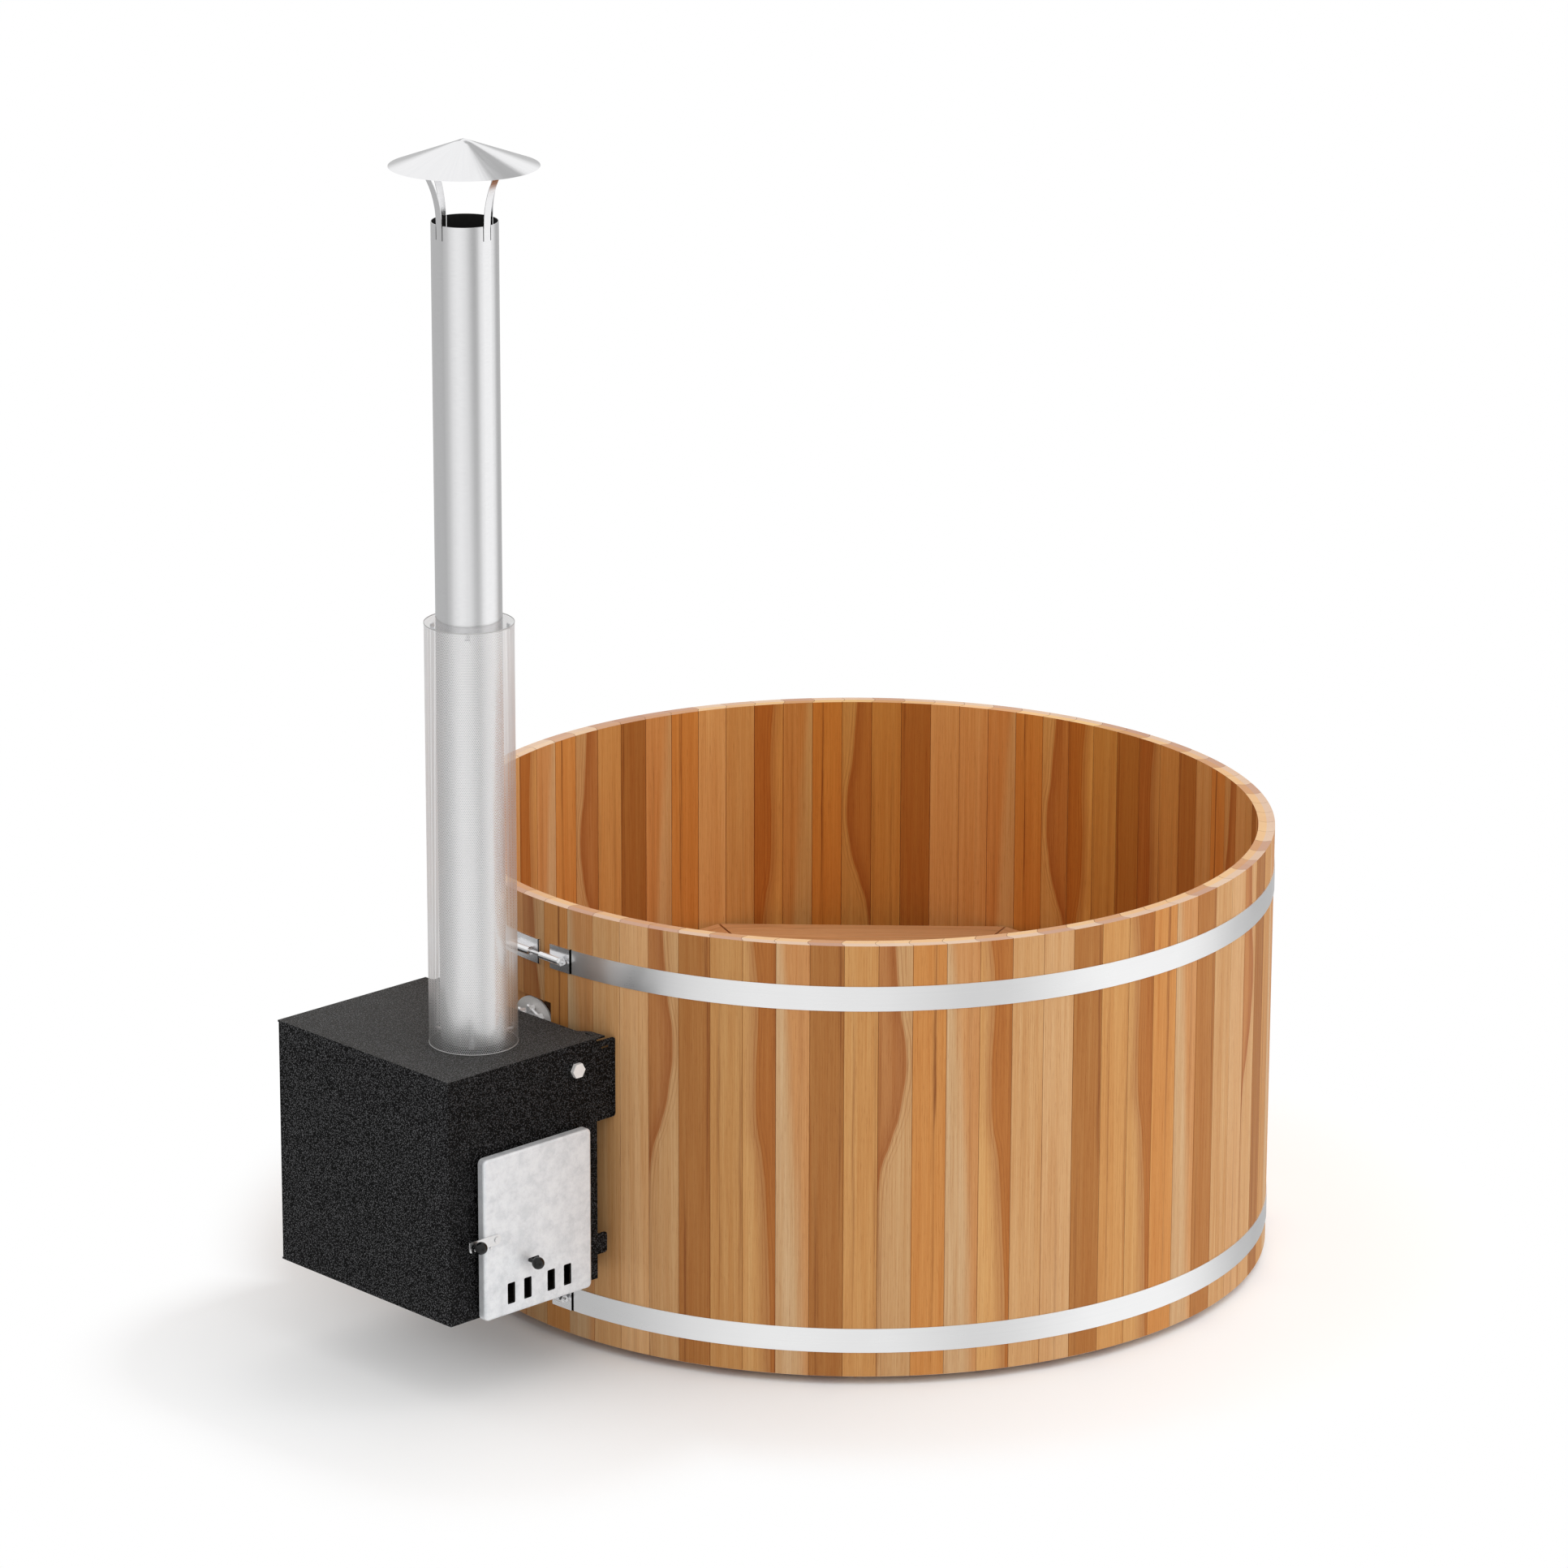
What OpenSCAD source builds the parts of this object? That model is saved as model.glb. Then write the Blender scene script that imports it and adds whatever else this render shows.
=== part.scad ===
// Wooden hot tub with an outside wood stove and a chimney. Millimetres, +Z up.
// The origin lies on the tub's axis, on the ground under the joists.
// The stove hangs on the -X side of the wall, and its door faces -Y.

/* [Tub wall] */
// Outer radius of the stave wall
tub_r = 952; // [850:1:1050]
// Thickness of a stave
stave_t = 38; // [34:1:46]
// Height of a stave
stave_h = 1000; // [900:10:1150]
// Number of staves round the wall
stave_n = 80; // [72:8:96]
// Azimuth of the first joint between two staves, in degrees
stave_phase = -1.2; // [-2:0.1:2]
// Radius of the rounded bead along one edge of a stave
bead_r = 20; // [19:0.5:26]
// How far a bead stands out into its neighbour's hollow
bead_out = 7; // [4:0.5:9]
// Width of the small chamfer on a stave's long edges
arris = 1; // [0.5:0.1:2]

/* [Floor and joists] */
// Height of the stave ends above the ground
joist_drop = 20; // [8:1:30]
// Height of the floor's underside above the stave ends
floor_lift = 60; // [45:1:80]
// Thickness of a floor board
floor_t = 42; // [30:1:50]
// Number of floor boards
floor_n = 13; // [10:1:16]
// Depth of the groove that holds the floor in the staves
croze = 15; // [8:1:18]
// Width of a joist
joist_w = 48; // [36:1:70]
// Distance from the wall's inner face to the middle of the outer joists
joist_in = 290; // [250:1:330]

/* [Hoops] */
// Width of a hoop's strap
hoop_w = 56; // [40:1:70]
// Thickness of a hoop's strap
hoop_t = 2; // [1.5:0.1:3]
// Distance from the rim down to the upper hoop
hoop_drop = 92.5; // [60:0.5:140]
// Distance from the stave ends up to the lower hoop
hoop_lift = 57; // [40:0.5:70]
// Azimuth of the middle of the hoops' tension joint, in degrees
lug_az = 179.1; // [178:0.1:180]
// Length along the wall of the bare gap between a hoop's two ends
hoop_gap = 36; // [20:1:60]
// Length along the wall of a lug plate
lug_len = 62; // [50:1:80]
// Radius of the tension rod
rod_r = 4; // [3:0.25:5]
// Width across the flats of a tension nut
nut_af = 17; // [14:0.5:19]

/* [Bench] */
// Height of the seat above the stave ends
seat_h = 455; // [380:5:520]
// Thickness of a seat board
seat_t = 28; // [20:1:36]
// Width of a seat board
seat_w = 140; // [110:1:160]
// Gap between two seat boards, and half the gap between two seats
seat_gap = 6; // [3:0.5:10]
// Height of a bearer under the seats
bearer_h = 70; // [50:1:90]
// Width of a bearer, a leg and a wall batten
bearer_w = 45; // [36:1:60]
// Thickness of a wall batten
batten_t = 24; // [16:1:32]

/* [Water connections] */
// Distance from the wall to the stove, measured on the stove's centre line
stove_gap = 36.6; // [30:0.2:50]
// Sideways distance of both connections from the middle of the stave that they pass through
pipe_shift = 10; // [0:0.5:12]
// Height of the lower connection above the stove's base
pipe_low = 70; // [60:1:100]
// Height of the upper connection above the stove's base
pipe_high = 520; // [480:1:530]
// Outer radius of the steel pipes
pipe_r = 22; // [18:0.5:26]
// Wall of the steel pipes
pipe_t = 2; // [1.5:0.1:3]
// Wall of the rubber hose
hose_t = 5; // [3:0.5:6]
// Radius of the flange outside the wall
flange_r = 64; // [50:1:66]
// Width of the square pocket that is cut for a flange
pocket_w = 136; // [134:1:150]
// Depth of the pocket under the wall's outer surface, at the tub's centre line
pocket_in = 14; // [14:0.5:17]
// Radius of the ring nut inside the wall
ring_nut_r = 36; // [30:1:40]

/* [Stove body] */
// Length of the stove body away from the tub
stove_l = 431; // [400:1:480]
// Width of the stove body from the door to the rear
stove_w = 569; // [540:1:620]
// Height of the stove body
stove_h = 563; // [550:1:620]
// Height of the stove's base above the stave ends
stove_lift = 180; // [150:1:200]
// Distance from the tub's centre line to the door side
stove_front = 191.5; // [170:0.5:210]
// Thickness of the stove's plates
plate_t = 4; // [3:0.5:6]
// Overhang of the top and the base plate at the rear
plate_lip = 3; // [1:0.5:5]
// Lower and upper edge of the side plates' ears, above the stove's base
ear_z = [369, 553]; // [300:1:560]
// Lower and upper edge of the side plates' lower tabs, above the stove's base
tab_z = [56, 104]; // [40:1:140]
// Length of the lower tab
tab_l = 28; // [16:1:34]
// Corner radius of the ears and tabs
ear_r = 7; // [4:0.5:12]

/* [Firebox] */
// Depth of the firebox from the side plate
firebox_d = 520; // [460:1:540]
// Width of the firebox
firebox_w = 321; // [300:1:330]
// Height of the firebox
firebox_h = 454; // [400:1:480]
// Wall of the firebox's mouth
mouth_t = 6; // [4:0.5:6.5]
// Gap between the door's seal and the door's side walls
seal_side = 6; // [3:0.5:8]
// Number of bars in the grate
grate_n = 11; // [7:1:15]
// Height of the grate above the firebox's floor
grate_lift = 70; // [62:1:90]

/* [Door] */
// Width of the door panel
door_w = 313; // [305:1:320]
// Height of the door panel
door_h = 373; // [365:1:380]
// Depth of the door panel's rim
door_d = 20; // [16:0.5:22]
// Wall of the door panel
door_t = 5; // [4:0.25:6]
// Distance from the side plate to the door's front
door_out = 30; // [28:0.5:34]
// Distance from the door's hinge edge to the tub-side plate
door_side = 44.5; // [42:0.5:50]
// Corner radius of the door panel
door_r = 12; // [8:0.5:16]
// Radius of the rounding round the door's front
door_round = 5; // [2:0.5:5]
// Radius of the hinge pins
hinge_r = 3; // [2.5:0.25:3.5]

/* [Air slots and damper] */
// Width of an air slot
slot_w = 22; // [16:0.5:24]
// Height of an air slot
slot_h = 48.5; // [36:0.5:52]
// Height of the air slots above the door's lower edge
slot_z = 24.5; // [20:0.5:30]
// Distance between the two air slots of a pair
slot_pair = 48; // [46:0.5:50]
// Distance between the inner slots of the two pairs
slot_mid = 68.5; // [60:0.5:72]
// Travel of the damper from open to shut
damper_travel = 24; // [18:1:26]
// Radius of the two ball knobs
knob_r = 14; // [11:0.5:16]

/* [Latch] */
// Length of the latch strip from its pivot to the hook's end
latch_l = 78; // [72:1:84]
// Width of the latch strip
latch_w = 24; // [20:0.5:28]
// Thickness of the latch strip
latch_t = 3; // [2:0.5:4]
// Height of the latch above the door's lower edge
latch_z = 185; // [160:1:220]

/* [Chimney] */
// Distance from the stove's tub side to the chimney's axis
flue_x = 209; // [200:1:225]
// Distance from the door side to the chimney's axis
flue_y = 169.5; // [160:0.5:200]
// Outer radius of the chimney pipe
flue_r = 72.3; // [60:0.1:75]
// Wall of the chimney pipe
flue_t = 1.5; // [1:0.1:3]
// Height of the chimney pipe above the stove's top
flue_h = 1832; // [1200:1:2000]
// Radius of the perforated guard round the chimney
guard_r = 98.6; // [90:0.1:110]
// Wall of the guard
guard_t = 1; // [0.8:0.1:2]
// Height of the guard
guard_h = 954; // [700:1:1100]
// Radius of the rain cap
cap_r = 161; // [140:1:180]
// Height of the rain cap's cone
cap_h = 59; // [40:1:80]
// Distance from the pipe's end up to the cap's edge
cap_lift = 118.5; // [90:0.5:150]
// Width of a cap leg
leg_w = 18; // [12:0.5:24]

/* [Drain] */
// Height of the drain above the stave ends
drain_z = 158; // [150:1:200]
// Radius of the drain pipe
drain_r = 13; // [10:0.5:15]
// Radius of the drain's flange
drain_flange_r = 32; // [26:1:34]
// Length of the valve's body
valve_l = 56; // [46:1:70]
// Length of the smooth hose tail after the valve
tail_l = 30; // [24:1:40]
// Length of the valve's lever
lever_l = 90; // [60:1:110]

/* [Hidden] */
$fn = 64;

// Clearances
fit = 0.05;        // radial clearance of a pin in its bore
slip = 0.3;        // clearance between pieces that pass or seat without touching
joint_gap = 0.15;  // clearance between a bead and its hollow
over = 1;          // how far a cut runs past the face that it opens
clear = 20;        // how far a cut runs on where it leaves a curved wall

// Levels above the ground
z_staves = joist_drop;
z_rim = z_staves + stave_h;
z_floor = z_staves + floor_lift;
z_floor_top = z_floor + floor_t;
z_seat = z_staves + seat_h;
z_stove = z_staves + stove_lift;
z_top = z_stove + stove_h;
z_hoops = [z_rim - hoop_drop - hoop_w, z_staves + hoop_lift];
z_pipes = [z_stove + pipe_high, z_stove + pipe_low];
z_door = z_stove;

// The tub's wall
inner_r = tub_r - stave_t;
mid_r = tub_r - stave_t / 2;
pitch = 360 / stave_n;
wall_fn = stave_n * 4;
floor_r = inner_r + croze - slip;
joist_pitch = (inner_r - joist_in) / 2;

// Hoop joint
hoop_r = tub_r + fit;
lug_gap_half = hoop_gap / 2 / tub_r * 180 / PI;
lug_half = lug_len / tub_r * 180 / PI;
lug_plate_t = 2;
rod_out = hoop_r + hoop_t + lug_plate_t + nut_af / sqrt(3) - 1;
lug_tube_r = rod_r + 5.5;
lug_tube_l = lug_len;

// Wall fittings and the stove's sides
pipe_az = stave_phase + (stave_n / 2 - 0.5) * pitch;
pipe_y = tub_r * sin(pipe_az) + pipe_shift;
x_pocket = -(tub_r - pocket_in);
gasket_t = 2;
flange_t = 4;
x_flange = x_pocket - gasket_t - flange_t;
x_spot = -(inner_r - 0.5);
ring_nut_t = 8;
x_side = -(tub_r + stove_gap);
x_outer = x_side - stove_l;
y_face = -stove_front;
y_rear = y_face + stove_w;
hose_in = pipe_r + slip;
hose_r = hose_in + hose_t;
clamp_w = 16;
clamp_t = 1.8;
clamp_bolt_r = 4;
clamp_barrel_r = 6;
clamp_tilt = 26;

// Firebox's mouth, which the door and its seal cover
seal_d = 10;
seal_w = mouth_t + 1;
seal_gap = 1;
mouth_w = door_w - 2 * (door_t + seal_side + seal_w);
mouth_h = door_h - 2 * (door_t + seal_gap + seal_w);
x_mouth = x_side - door_side - door_w / 2;
z_mouth = z_door + (door_h - mouth_h) / 2;
mouth_out = door_out - door_t - seal_d - slip;
firebox_t = 4;
z_firebox = z_stove + plate_t + 2;

// Door
x_door = x_side - door_side - door_w;
y_door = y_face - door_out;
x_hinge = x_door + door_w + 6;
y_hinge = y_face - 6;
knuckle_r = hinge_r + 1.5;
knuckle_l = 22;
hinge_in = 70;
hinge_zs = [z_door + hinge_in, z_door + door_h - hinge_in];
leaf_t = 2.5;
foot_t = 3;
foot_l = 26;
door_root = 0.6;

// Air slots: two pairs, about a middle that stands a little off the door's middle
slot_off = 2;
slot_mid_x = x_door + door_w / 2 + slot_off;
slot_xs = [for (side = [-1, 1]) for (k = [0, 1])
    slot_mid_x + side * (slot_mid / 2 + k * slot_pair)];
damper_t = 2.5;
damper_grow = 1;
damper_lap = 4;
stem_r = 4;
stem_off = 28.5;
stem_rise = 39;
x_stem = slot_mid_x - stem_off;
z_stem = z_door + slot_z + slot_h + stem_rise;
y_damper = y_door + door_t + slip;

// Latch
latch_in = 33;
x_latch = x_door + latch_in;
z_latch = z_door + latch_z;
rivet_r = 4;
y_strip = y_door - slip - latch_t;
keeper_r = 3;
keeper_head = keeper_r + 0.8;
hook_slot = 2 * keeper_head + 1.9;
hook_r = latch_l - 4 - hook_slot / 2;
knob_neck_r = 4.5;
latch_knob_x = hook_r - hook_slot / 2 - knob_neck_r - 0.75;
latch_knob_reach = knob_r + 1.5;
damper_knob_reach = knob_r * 2 - 1;

// Chimney
x_flue = x_side - flue_x;
y_flue = y_face + flue_y;
collar_r = flue_r - flue_t - slip;
z_pipe_end = z_top + flue_h;
z_cap = z_pipe_end + cap_lift;
cap_t = 1;
leg_reach = 122;

// Drain
z_drain = z_staves + drain_z;
x_drain_seat = tub_r - 0.7;
x_valve = tub_r + 20;
x_valve_mid = x_valve + valve_l / 2;
ball_r = drain_r + 5;
drain_stem_r = 5;
neck_h = ball_r + 12;

// Common shapes ------------------------------------------------------------

// A cylinder along X from x0 to x1
module bar_x(x0, x1, r) {
    translate([x0, 0, 0]) rotate([0, 90, 0]) cylinder(h = x1 - x0, r = r);
}

// A cylinder along Y from y0 to y1
module bar_y(y0, y1, r) {
    translate([0, y1, 0]) rotate([90, 0, 0]) cylinder(h = y1 - y0, r = r);
}

// A box given by two opposite corners
module block(a, b) {
    translate(a) cube([b[0] - a[0], b[1] - a[1], b[2] - a[2]]);
}

// A tube along Z
module tube(h, r, t, fn = 64) {
    difference() {
        cylinder(h = h, r = r, $fn = fn);
        translate([0, 0, -over]) cylinder(h = h + 2 * over, r = r - t, $fn = fn);
    }
}

// A band round the tub between two azimuths
module band(r, t, h, a0, a1) {
    rotate([0, 0, a0]) rotate_extrude(angle = a1 - a0, $fn = wall_fn)
        translate([r, 0]) square([t, h]);
}

// A rectangle with rounded corners, standing in the XZ plane and extruded along +Y
module rounded_plate(x0, x1, z0, z1, t, r) {
    rotate([90, 0, 0]) translate([0, 0, -t]) linear_extrude(t) {
        translate([x0 + r, z0]) square([x1 - x0 - 2 * r, z1 - z0]);
        translate([x0, z0 + r]) square([x1 - x0, z1 - z0 - 2 * r]);
        for (x = [x0 + r, x1 - r], z = [z0 + r, z1 - r]) translate([x, z]) circle(r);
    }
}

// A ball knob with a short neck, along -Y from the neck's root at y = 0
module ball_knob(reach) {
    translate([0, -reach, 0]) sphere(knob_r);
    bar_y(-reach, 0, knob_neck_r);
}

// Tub ----------------------------------------------------------------------

// One stave: a sector of the wall, with a bead on its low-azimuth edge and a hollow on the other
module stave_outline() {
    far = tub_r * 1.2;
    bead_in = bead_r - bead_out;
    intersection() {
        difference() {
            union() {
                polygon([[0, 0], [far * cos(pitch / 2), -far * sin(pitch / 2)], [far, 0],
                    [far * cos(pitch / 2), far * sin(pitch / 2)]]);
                rotate(-pitch / 2) translate([mid_r, bead_in]) circle(bead_r);
            }
            rotate(pitch / 2) translate([mid_r, bead_in]) circle(bead_r + joint_gap);
            rotate(pitch / 2) translate([0, -joint_gap / 2]) square([far, bead_out]);
            for (side = [-1, 1], r = [inner_r, tub_r]) rotate(side * pitch / 2)
                translate([r, 0]) rotate(45) square(arris * sqrt(2), center = true);
        }
        difference() {
            circle(tub_r, $fn = wall_fn);
            circle(inner_r, $fn = wall_fn);
        }
    }
}

// The pocket, bore and spot face of one water connection, at height z
module fitting_cuts(z) {
    block([x_pocket - 2 * clear, pipe_y - pocket_w / 2, z - pocket_w / 2],
        [x_pocket, pipe_y + pocket_w / 2, z + pocket_w / 2]);
    translate([0, pipe_y, z]) bar_x(x_pocket - over, x_spot + clear, pipe_r + slip);
    translate([0, pipe_y, z]) bar_x(x_spot, x_spot + clear, ring_nut_r + 2);
}

// The bore and spot faces of the drain
module drain_cuts() {
    translate([0, 0, z_drain]) {
        bar_x(inner_r - clear, tub_r + over, drain_r + slip);
        bar_x(x_drain_seat, tub_r + clear, drain_flange_r + 1);
        bar_x(inner_r - clear, inner_r + 0.5, drain_flange_r + 1);
    }
}

// An eighth of the wall: stave_n / 8 staves, each cut for the floor's groove
module staves(part) {
    count = stave_n / 8;
    near_stove = part >= 4 && part <= 5;
    near_drain = part == 1 || part == 8;
    color("peru") for (k = [0 : count - 1]) difference() {
        rotate([0, 0, stave_phase + ((part - 1) * count + k + 0.5) * pitch])
            translate([0, 0, z_staves]) linear_extrude(stave_h) stave_outline();
        translate([0, 0, z_floor - slip])
            cylinder(h = floor_t + 2 * slip, r = inner_r + croze, $fn = wall_fn);
        if (near_stove) for (z = z_pipes) fitting_cuts(z);
        if (near_drain) drain_cuts();
    }
}

// Tongue-and-groove boards, trimmed to the floor's circle
module floor_boards() {
    w = 2 * floor_r / floor_n;
    tongue = 8;
    tongue_h = floor_t / 3;
    color("burlywood") rotate([0, 0, 90]) for (k = [0 : floor_n - 1]) {
        y0 = -floor_r + k * w;
        intersection() {
            translate([0, 0, z_floor]) cylinder(h = floor_t, r = floor_r, $fn = wall_fn);
            difference() {
                union() {
                    block([-floor_r, y0, z_floor], [floor_r, y0 + w - joint_gap, z_floor_top]);
                    block([-floor_r, y0 + w / 2, z_floor + tongue_h],
                        [floor_r, y0 + w + tongue, z_floor + 2 * tongue_h]);
                }
                block([-floor_r - over, y0 - over, z_floor + tongue_h - joint_gap],
                    [floor_r + over, y0 + tongue + joint_gap, z_floor + 2 * tongue_h + joint_gap]);
            }
        }
    }
}

// Five joists under the floor, inside the ring of staves, down to the ground
module floor_joists() {
    color("tan") for (k = [-2 : 2]) {
        y = k * joist_pitch;
        reach = sqrt(pow(inner_r - 6, 2) - pow(abs(y) + joist_w / 2, 2));
        block([-reach, y - joist_w / 2, 0], [reach, y + joist_w / 2, z_floor]);
    }
}

module hoop(z) {
    color("gainsboro") translate([0, 0, z])
        band(hoop_r, hoop_t, hoop_w, lug_az + lug_gap_half, lug_az + 360 - lug_gap_half);
}

// Places along the tangent, measured from the joint's middle: the lug tubes' middles, the nuts'
// far faces and the rod's ends. One tube reaches over the gap and the other stands back from it.
tube_back = 19;
tube_over = 18;
tube_ys = [-(hoop_gap / 2 + lug_tube_l / 2 + tube_back),
    hoop_gap / 2 + lug_tube_l / 2 - tube_over];
nut_t = 7;
nut_ys = [tube_ys[0] - lug_tube_l / 2 - slip, tube_ys[1] + lug_tube_l / 2 + nut_t + slip];
rod_ends = [nut_ys[0] - nut_t - 8, nut_ys[1] + 8];
plate_spans = [lug_half * (1 + (tube_back + 2) / lug_len), lug_half];

// The two lugs of one hoop: a plate on each end of the strap, with a tube for the rod
module hoop_lug_pair(z) {
    rotate([0, 0, lug_az]) for (side = [0, 1]) {
        translate([0, 0, z])
            rotate([0, 0, side == 0 ? -lug_gap_half - plate_spans[0] : lug_gap_half])
                band(hoop_r + hoop_t, lug_plate_t, hoop_w, 0, plate_spans[side]);
        translate([rod_out, tube_ys[side], z + hoop_w / 2]) difference() {
            union() {
                bar_y(-lug_tube_l / 2, lug_tube_l / 2, lug_tube_r);
                block([hoop_r - rod_out, (side == 0 ? -lug_tube_l / 2 : -lug_tube_l / 2 + tube_over),
                    -lug_tube_r], [0, lug_tube_l / 2, lug_tube_r]);
            }
            bar_y(-lug_tube_l, lug_tube_l, rod_r + slip);
            translate([-rod_out, -tube_ys[side], -hoop_w])
                cylinder(h = 2 * hoop_w, r = hoop_r + hoop_t, $fn = wall_fn);
        }
    }
}

module hoop_lugs() {
    color("silver") for (z = z_hoops) hoop_lug_pair(z);
}

module tension_rods() {
    color("silver") for (z = z_hoops) rotate([0, 0, lug_az])
        translate([rod_out, 0, z + hoop_w / 2]) bar_y(rod_ends[0], rod_ends[1], rod_r);
}

module tension_nuts() {
    color("silver") for (z = z_hoops, y = nut_ys) rotate([0, 0, lug_az])
        translate([rod_out, y, z + hoop_w / 2]) difference() {
            rotate([90, 0, 0]) cylinder(h = nut_t, r = nut_af / sqrt(3), $fn = 6);
            bar_y(-2 * nut_t, nut_t, rod_r + fit);
        }
}

// Bench ----------------------------------------------------------------------

// Azimuths of the seats: seven sides of an octagon, with the way in left open
seat_azimuths = [for (k = [-2 : 4]) 45 * k];
seat_outer = (inner_r - 2) * cos(22.5);

// One mitred board between two distances from the axis
module seat_board(r0, r1) {
    g = seat_gap / 2;
    t = tan(22.5);
    translate([0, 0, z_seat - seat_t]) linear_extrude(seat_t)
        polygon([[r0, -r0 * t + g], [r1, -r1 * t + g], [r1, r1 * t - g], [r0, r0 * t - g]]);
}

module bench_outer_boards() {
    color("burlywood") for (a = seat_azimuths) rotate([0, 0, a])
        seat_board(seat_outer - seat_w, seat_outer);
}

module bench_inner_boards() {
    color("burlywood") for (a = seat_azimuths) rotate([0, 0, a])
        seat_board(seat_outer - 2 * seat_w - seat_gap, seat_outer - seat_w - seat_gap);
}

// The bearers lie under the mitres, from the wall battens to the legs
bearer_azimuths = [for (k = [-2 : 5]) 45 * k - 22.5];
bearer_out = sqrt(pow(inner_r - 1, 2) - pow(bearer_w / 2, 2));
bearer_in = (seat_outer - 2 * seat_w - seat_gap) / cos(22.5) + 12;
z_bearer = z_seat - seat_t - bearer_h;

module bench_bearers() {
    color("tan") for (a = bearer_azimuths) rotate([0, 0, a])
        block([bearer_in, -bearer_w / 2, z_bearer], [bearer_out, bearer_w / 2, z_seat - seat_t]);
}

module bench_legs() {
    color("tan") for (a = bearer_azimuths) rotate([0, 0, a])
        block([bearer_in, -bearer_w / 2, z_floor_top], [bearer_in + bearer_w, bearer_w / 2, z_bearer]);
}

module bench_battens() {
    color("tan") for (a = bearer_azimuths) rotate([0, 0, a])
        block([bearer_out - batten_t, -bearer_w / 2, z_floor_top],
            [bearer_out, bearer_w / 2, z_bearer]);
}

// Water connections ------------------------------------------------------------

// A flange in its pocket, welded to a pipe that passes through the wall
module wall_fitting(z) {
    x_end = x_spot + gasket_t + ring_nut_t + 6;
    x_tip = (x_flange + x_side) / 2 + 1.5;
    color("lightgray") translate([0, pipe_y, z]) difference() {
        union() {
            bar_x(x_tip, x_end, pipe_r);
            bar_x(x_flange, x_flange + flange_t, flange_r);
        }
        bar_x(x_tip - over, x_end + over, pipe_r - pipe_t);
    }
}

// Ring nuts inside the wall, with four notches for a spanner
module fitting_ring_nuts() {
    color("silver") {
        for (z = z_pipes) translate([0, pipe_y, z]) difference() {
            bar_x(x_spot + gasket_t, x_spot + gasket_t + ring_nut_t, ring_nut_r);
            bar_x(x_spot, x_spot + 2 * ring_nut_t, pipe_r);
            for (a = [0 : 90 : 270]) rotate([a, 0, 0])
                block([x_spot + gasket_t + 3, -4, ring_nut_r - 4],
                    [x_spot + 2 * ring_nut_t, 4, ring_nut_r + 4]);
        }
        translate([0, 0, z_drain]) difference() {
            bar_x(inner_r + 0.5 - gasket_t - 6, inner_r + 0.5 - gasket_t, drain_flange_r - 4);
            bar_x(inner_r - 20, inner_r + 20, drain_r);
        }
    }
}

module fitting_gaskets() {
    color("dimgray") {
        for (z = z_pipes) translate([0, pipe_y, z]) {
            difference() {
                bar_x(x_pocket - gasket_t, x_pocket, flange_r);
                bar_x(x_pocket - 2 * gasket_t, x_pocket + over, pipe_r);
            }
            difference() {
                bar_x(x_spot, x_spot + gasket_t, ring_nut_r);
                bar_x(x_spot - over, x_spot + 2 * gasket_t, pipe_r);
            }
        }
        translate([0, 0, z_drain]) {
            difference() {
                bar_x(x_drain_seat, x_drain_seat + gasket_t, drain_flange_r);
                bar_x(x_drain_seat - over, x_drain_seat + 2 * gasket_t, drain_r);
            }
            difference() {
                bar_x(inner_r + 0.5 - gasket_t, inner_r + 0.5, drain_flange_r - 4);
                bar_x(inner_r - 20, inner_r + 20, drain_r);
            }
        }
    }
}

module water_hoses() {
    color("black") for (z = z_pipes) translate([0, pipe_y, z]) difference() {
        bar_x(x_side + slip, x_flange - slip, hose_r);
        bar_x(x_side, x_flange, hose_in);
    }
}

// A clamp of a band, two trunnions and a bolt, turned towards the door side
module hose_clamp(x) {
    ring_r = hose_r + slip;
    bolt_z = ring_r + 9;
    ear_y = 15;
    rotate([clamp_tilt, 0, 0]) difference() {
        union() {
            bar_x(x - clamp_w / 2, x + clamp_w / 2, ring_r + clamp_t);
            for (side = [-1, 1]) {
                block([x - clamp_w / 2, side * ear_y - 1.5, ring_r - 8],
                    [x + clamp_w / 2, side * ear_y + 1.5, bolt_z]);
                translate([0, side * ear_y, bolt_z]) bar_x(x - clamp_w / 2, x + clamp_w / 2,
                    clamp_barrel_r);
            }
            translate([x, 0, bolt_z]) bar_y(-33, 26, clamp_bolt_r);
            translate([x, -22, bolt_z]) rotate([90, 0, 0]) cylinder(h = 7, r = 7.5, $fn = 6);
        }
        bar_x(x - clamp_w, x + clamp_w, ring_r);
    }
}

// Distance of each clamp's middle from the stove's side and from the flange
clamp_in = clamp_w / 2 + 1;

module hose_clamps() {
    color("silver") for (z = z_pipes) translate([0, pipe_y, z])
        for (x = [x_side + clamp_in, x_flange - clamp_in]) hose_clamp(x);
}

// Stove --------------------------------------------------------------------

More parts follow.
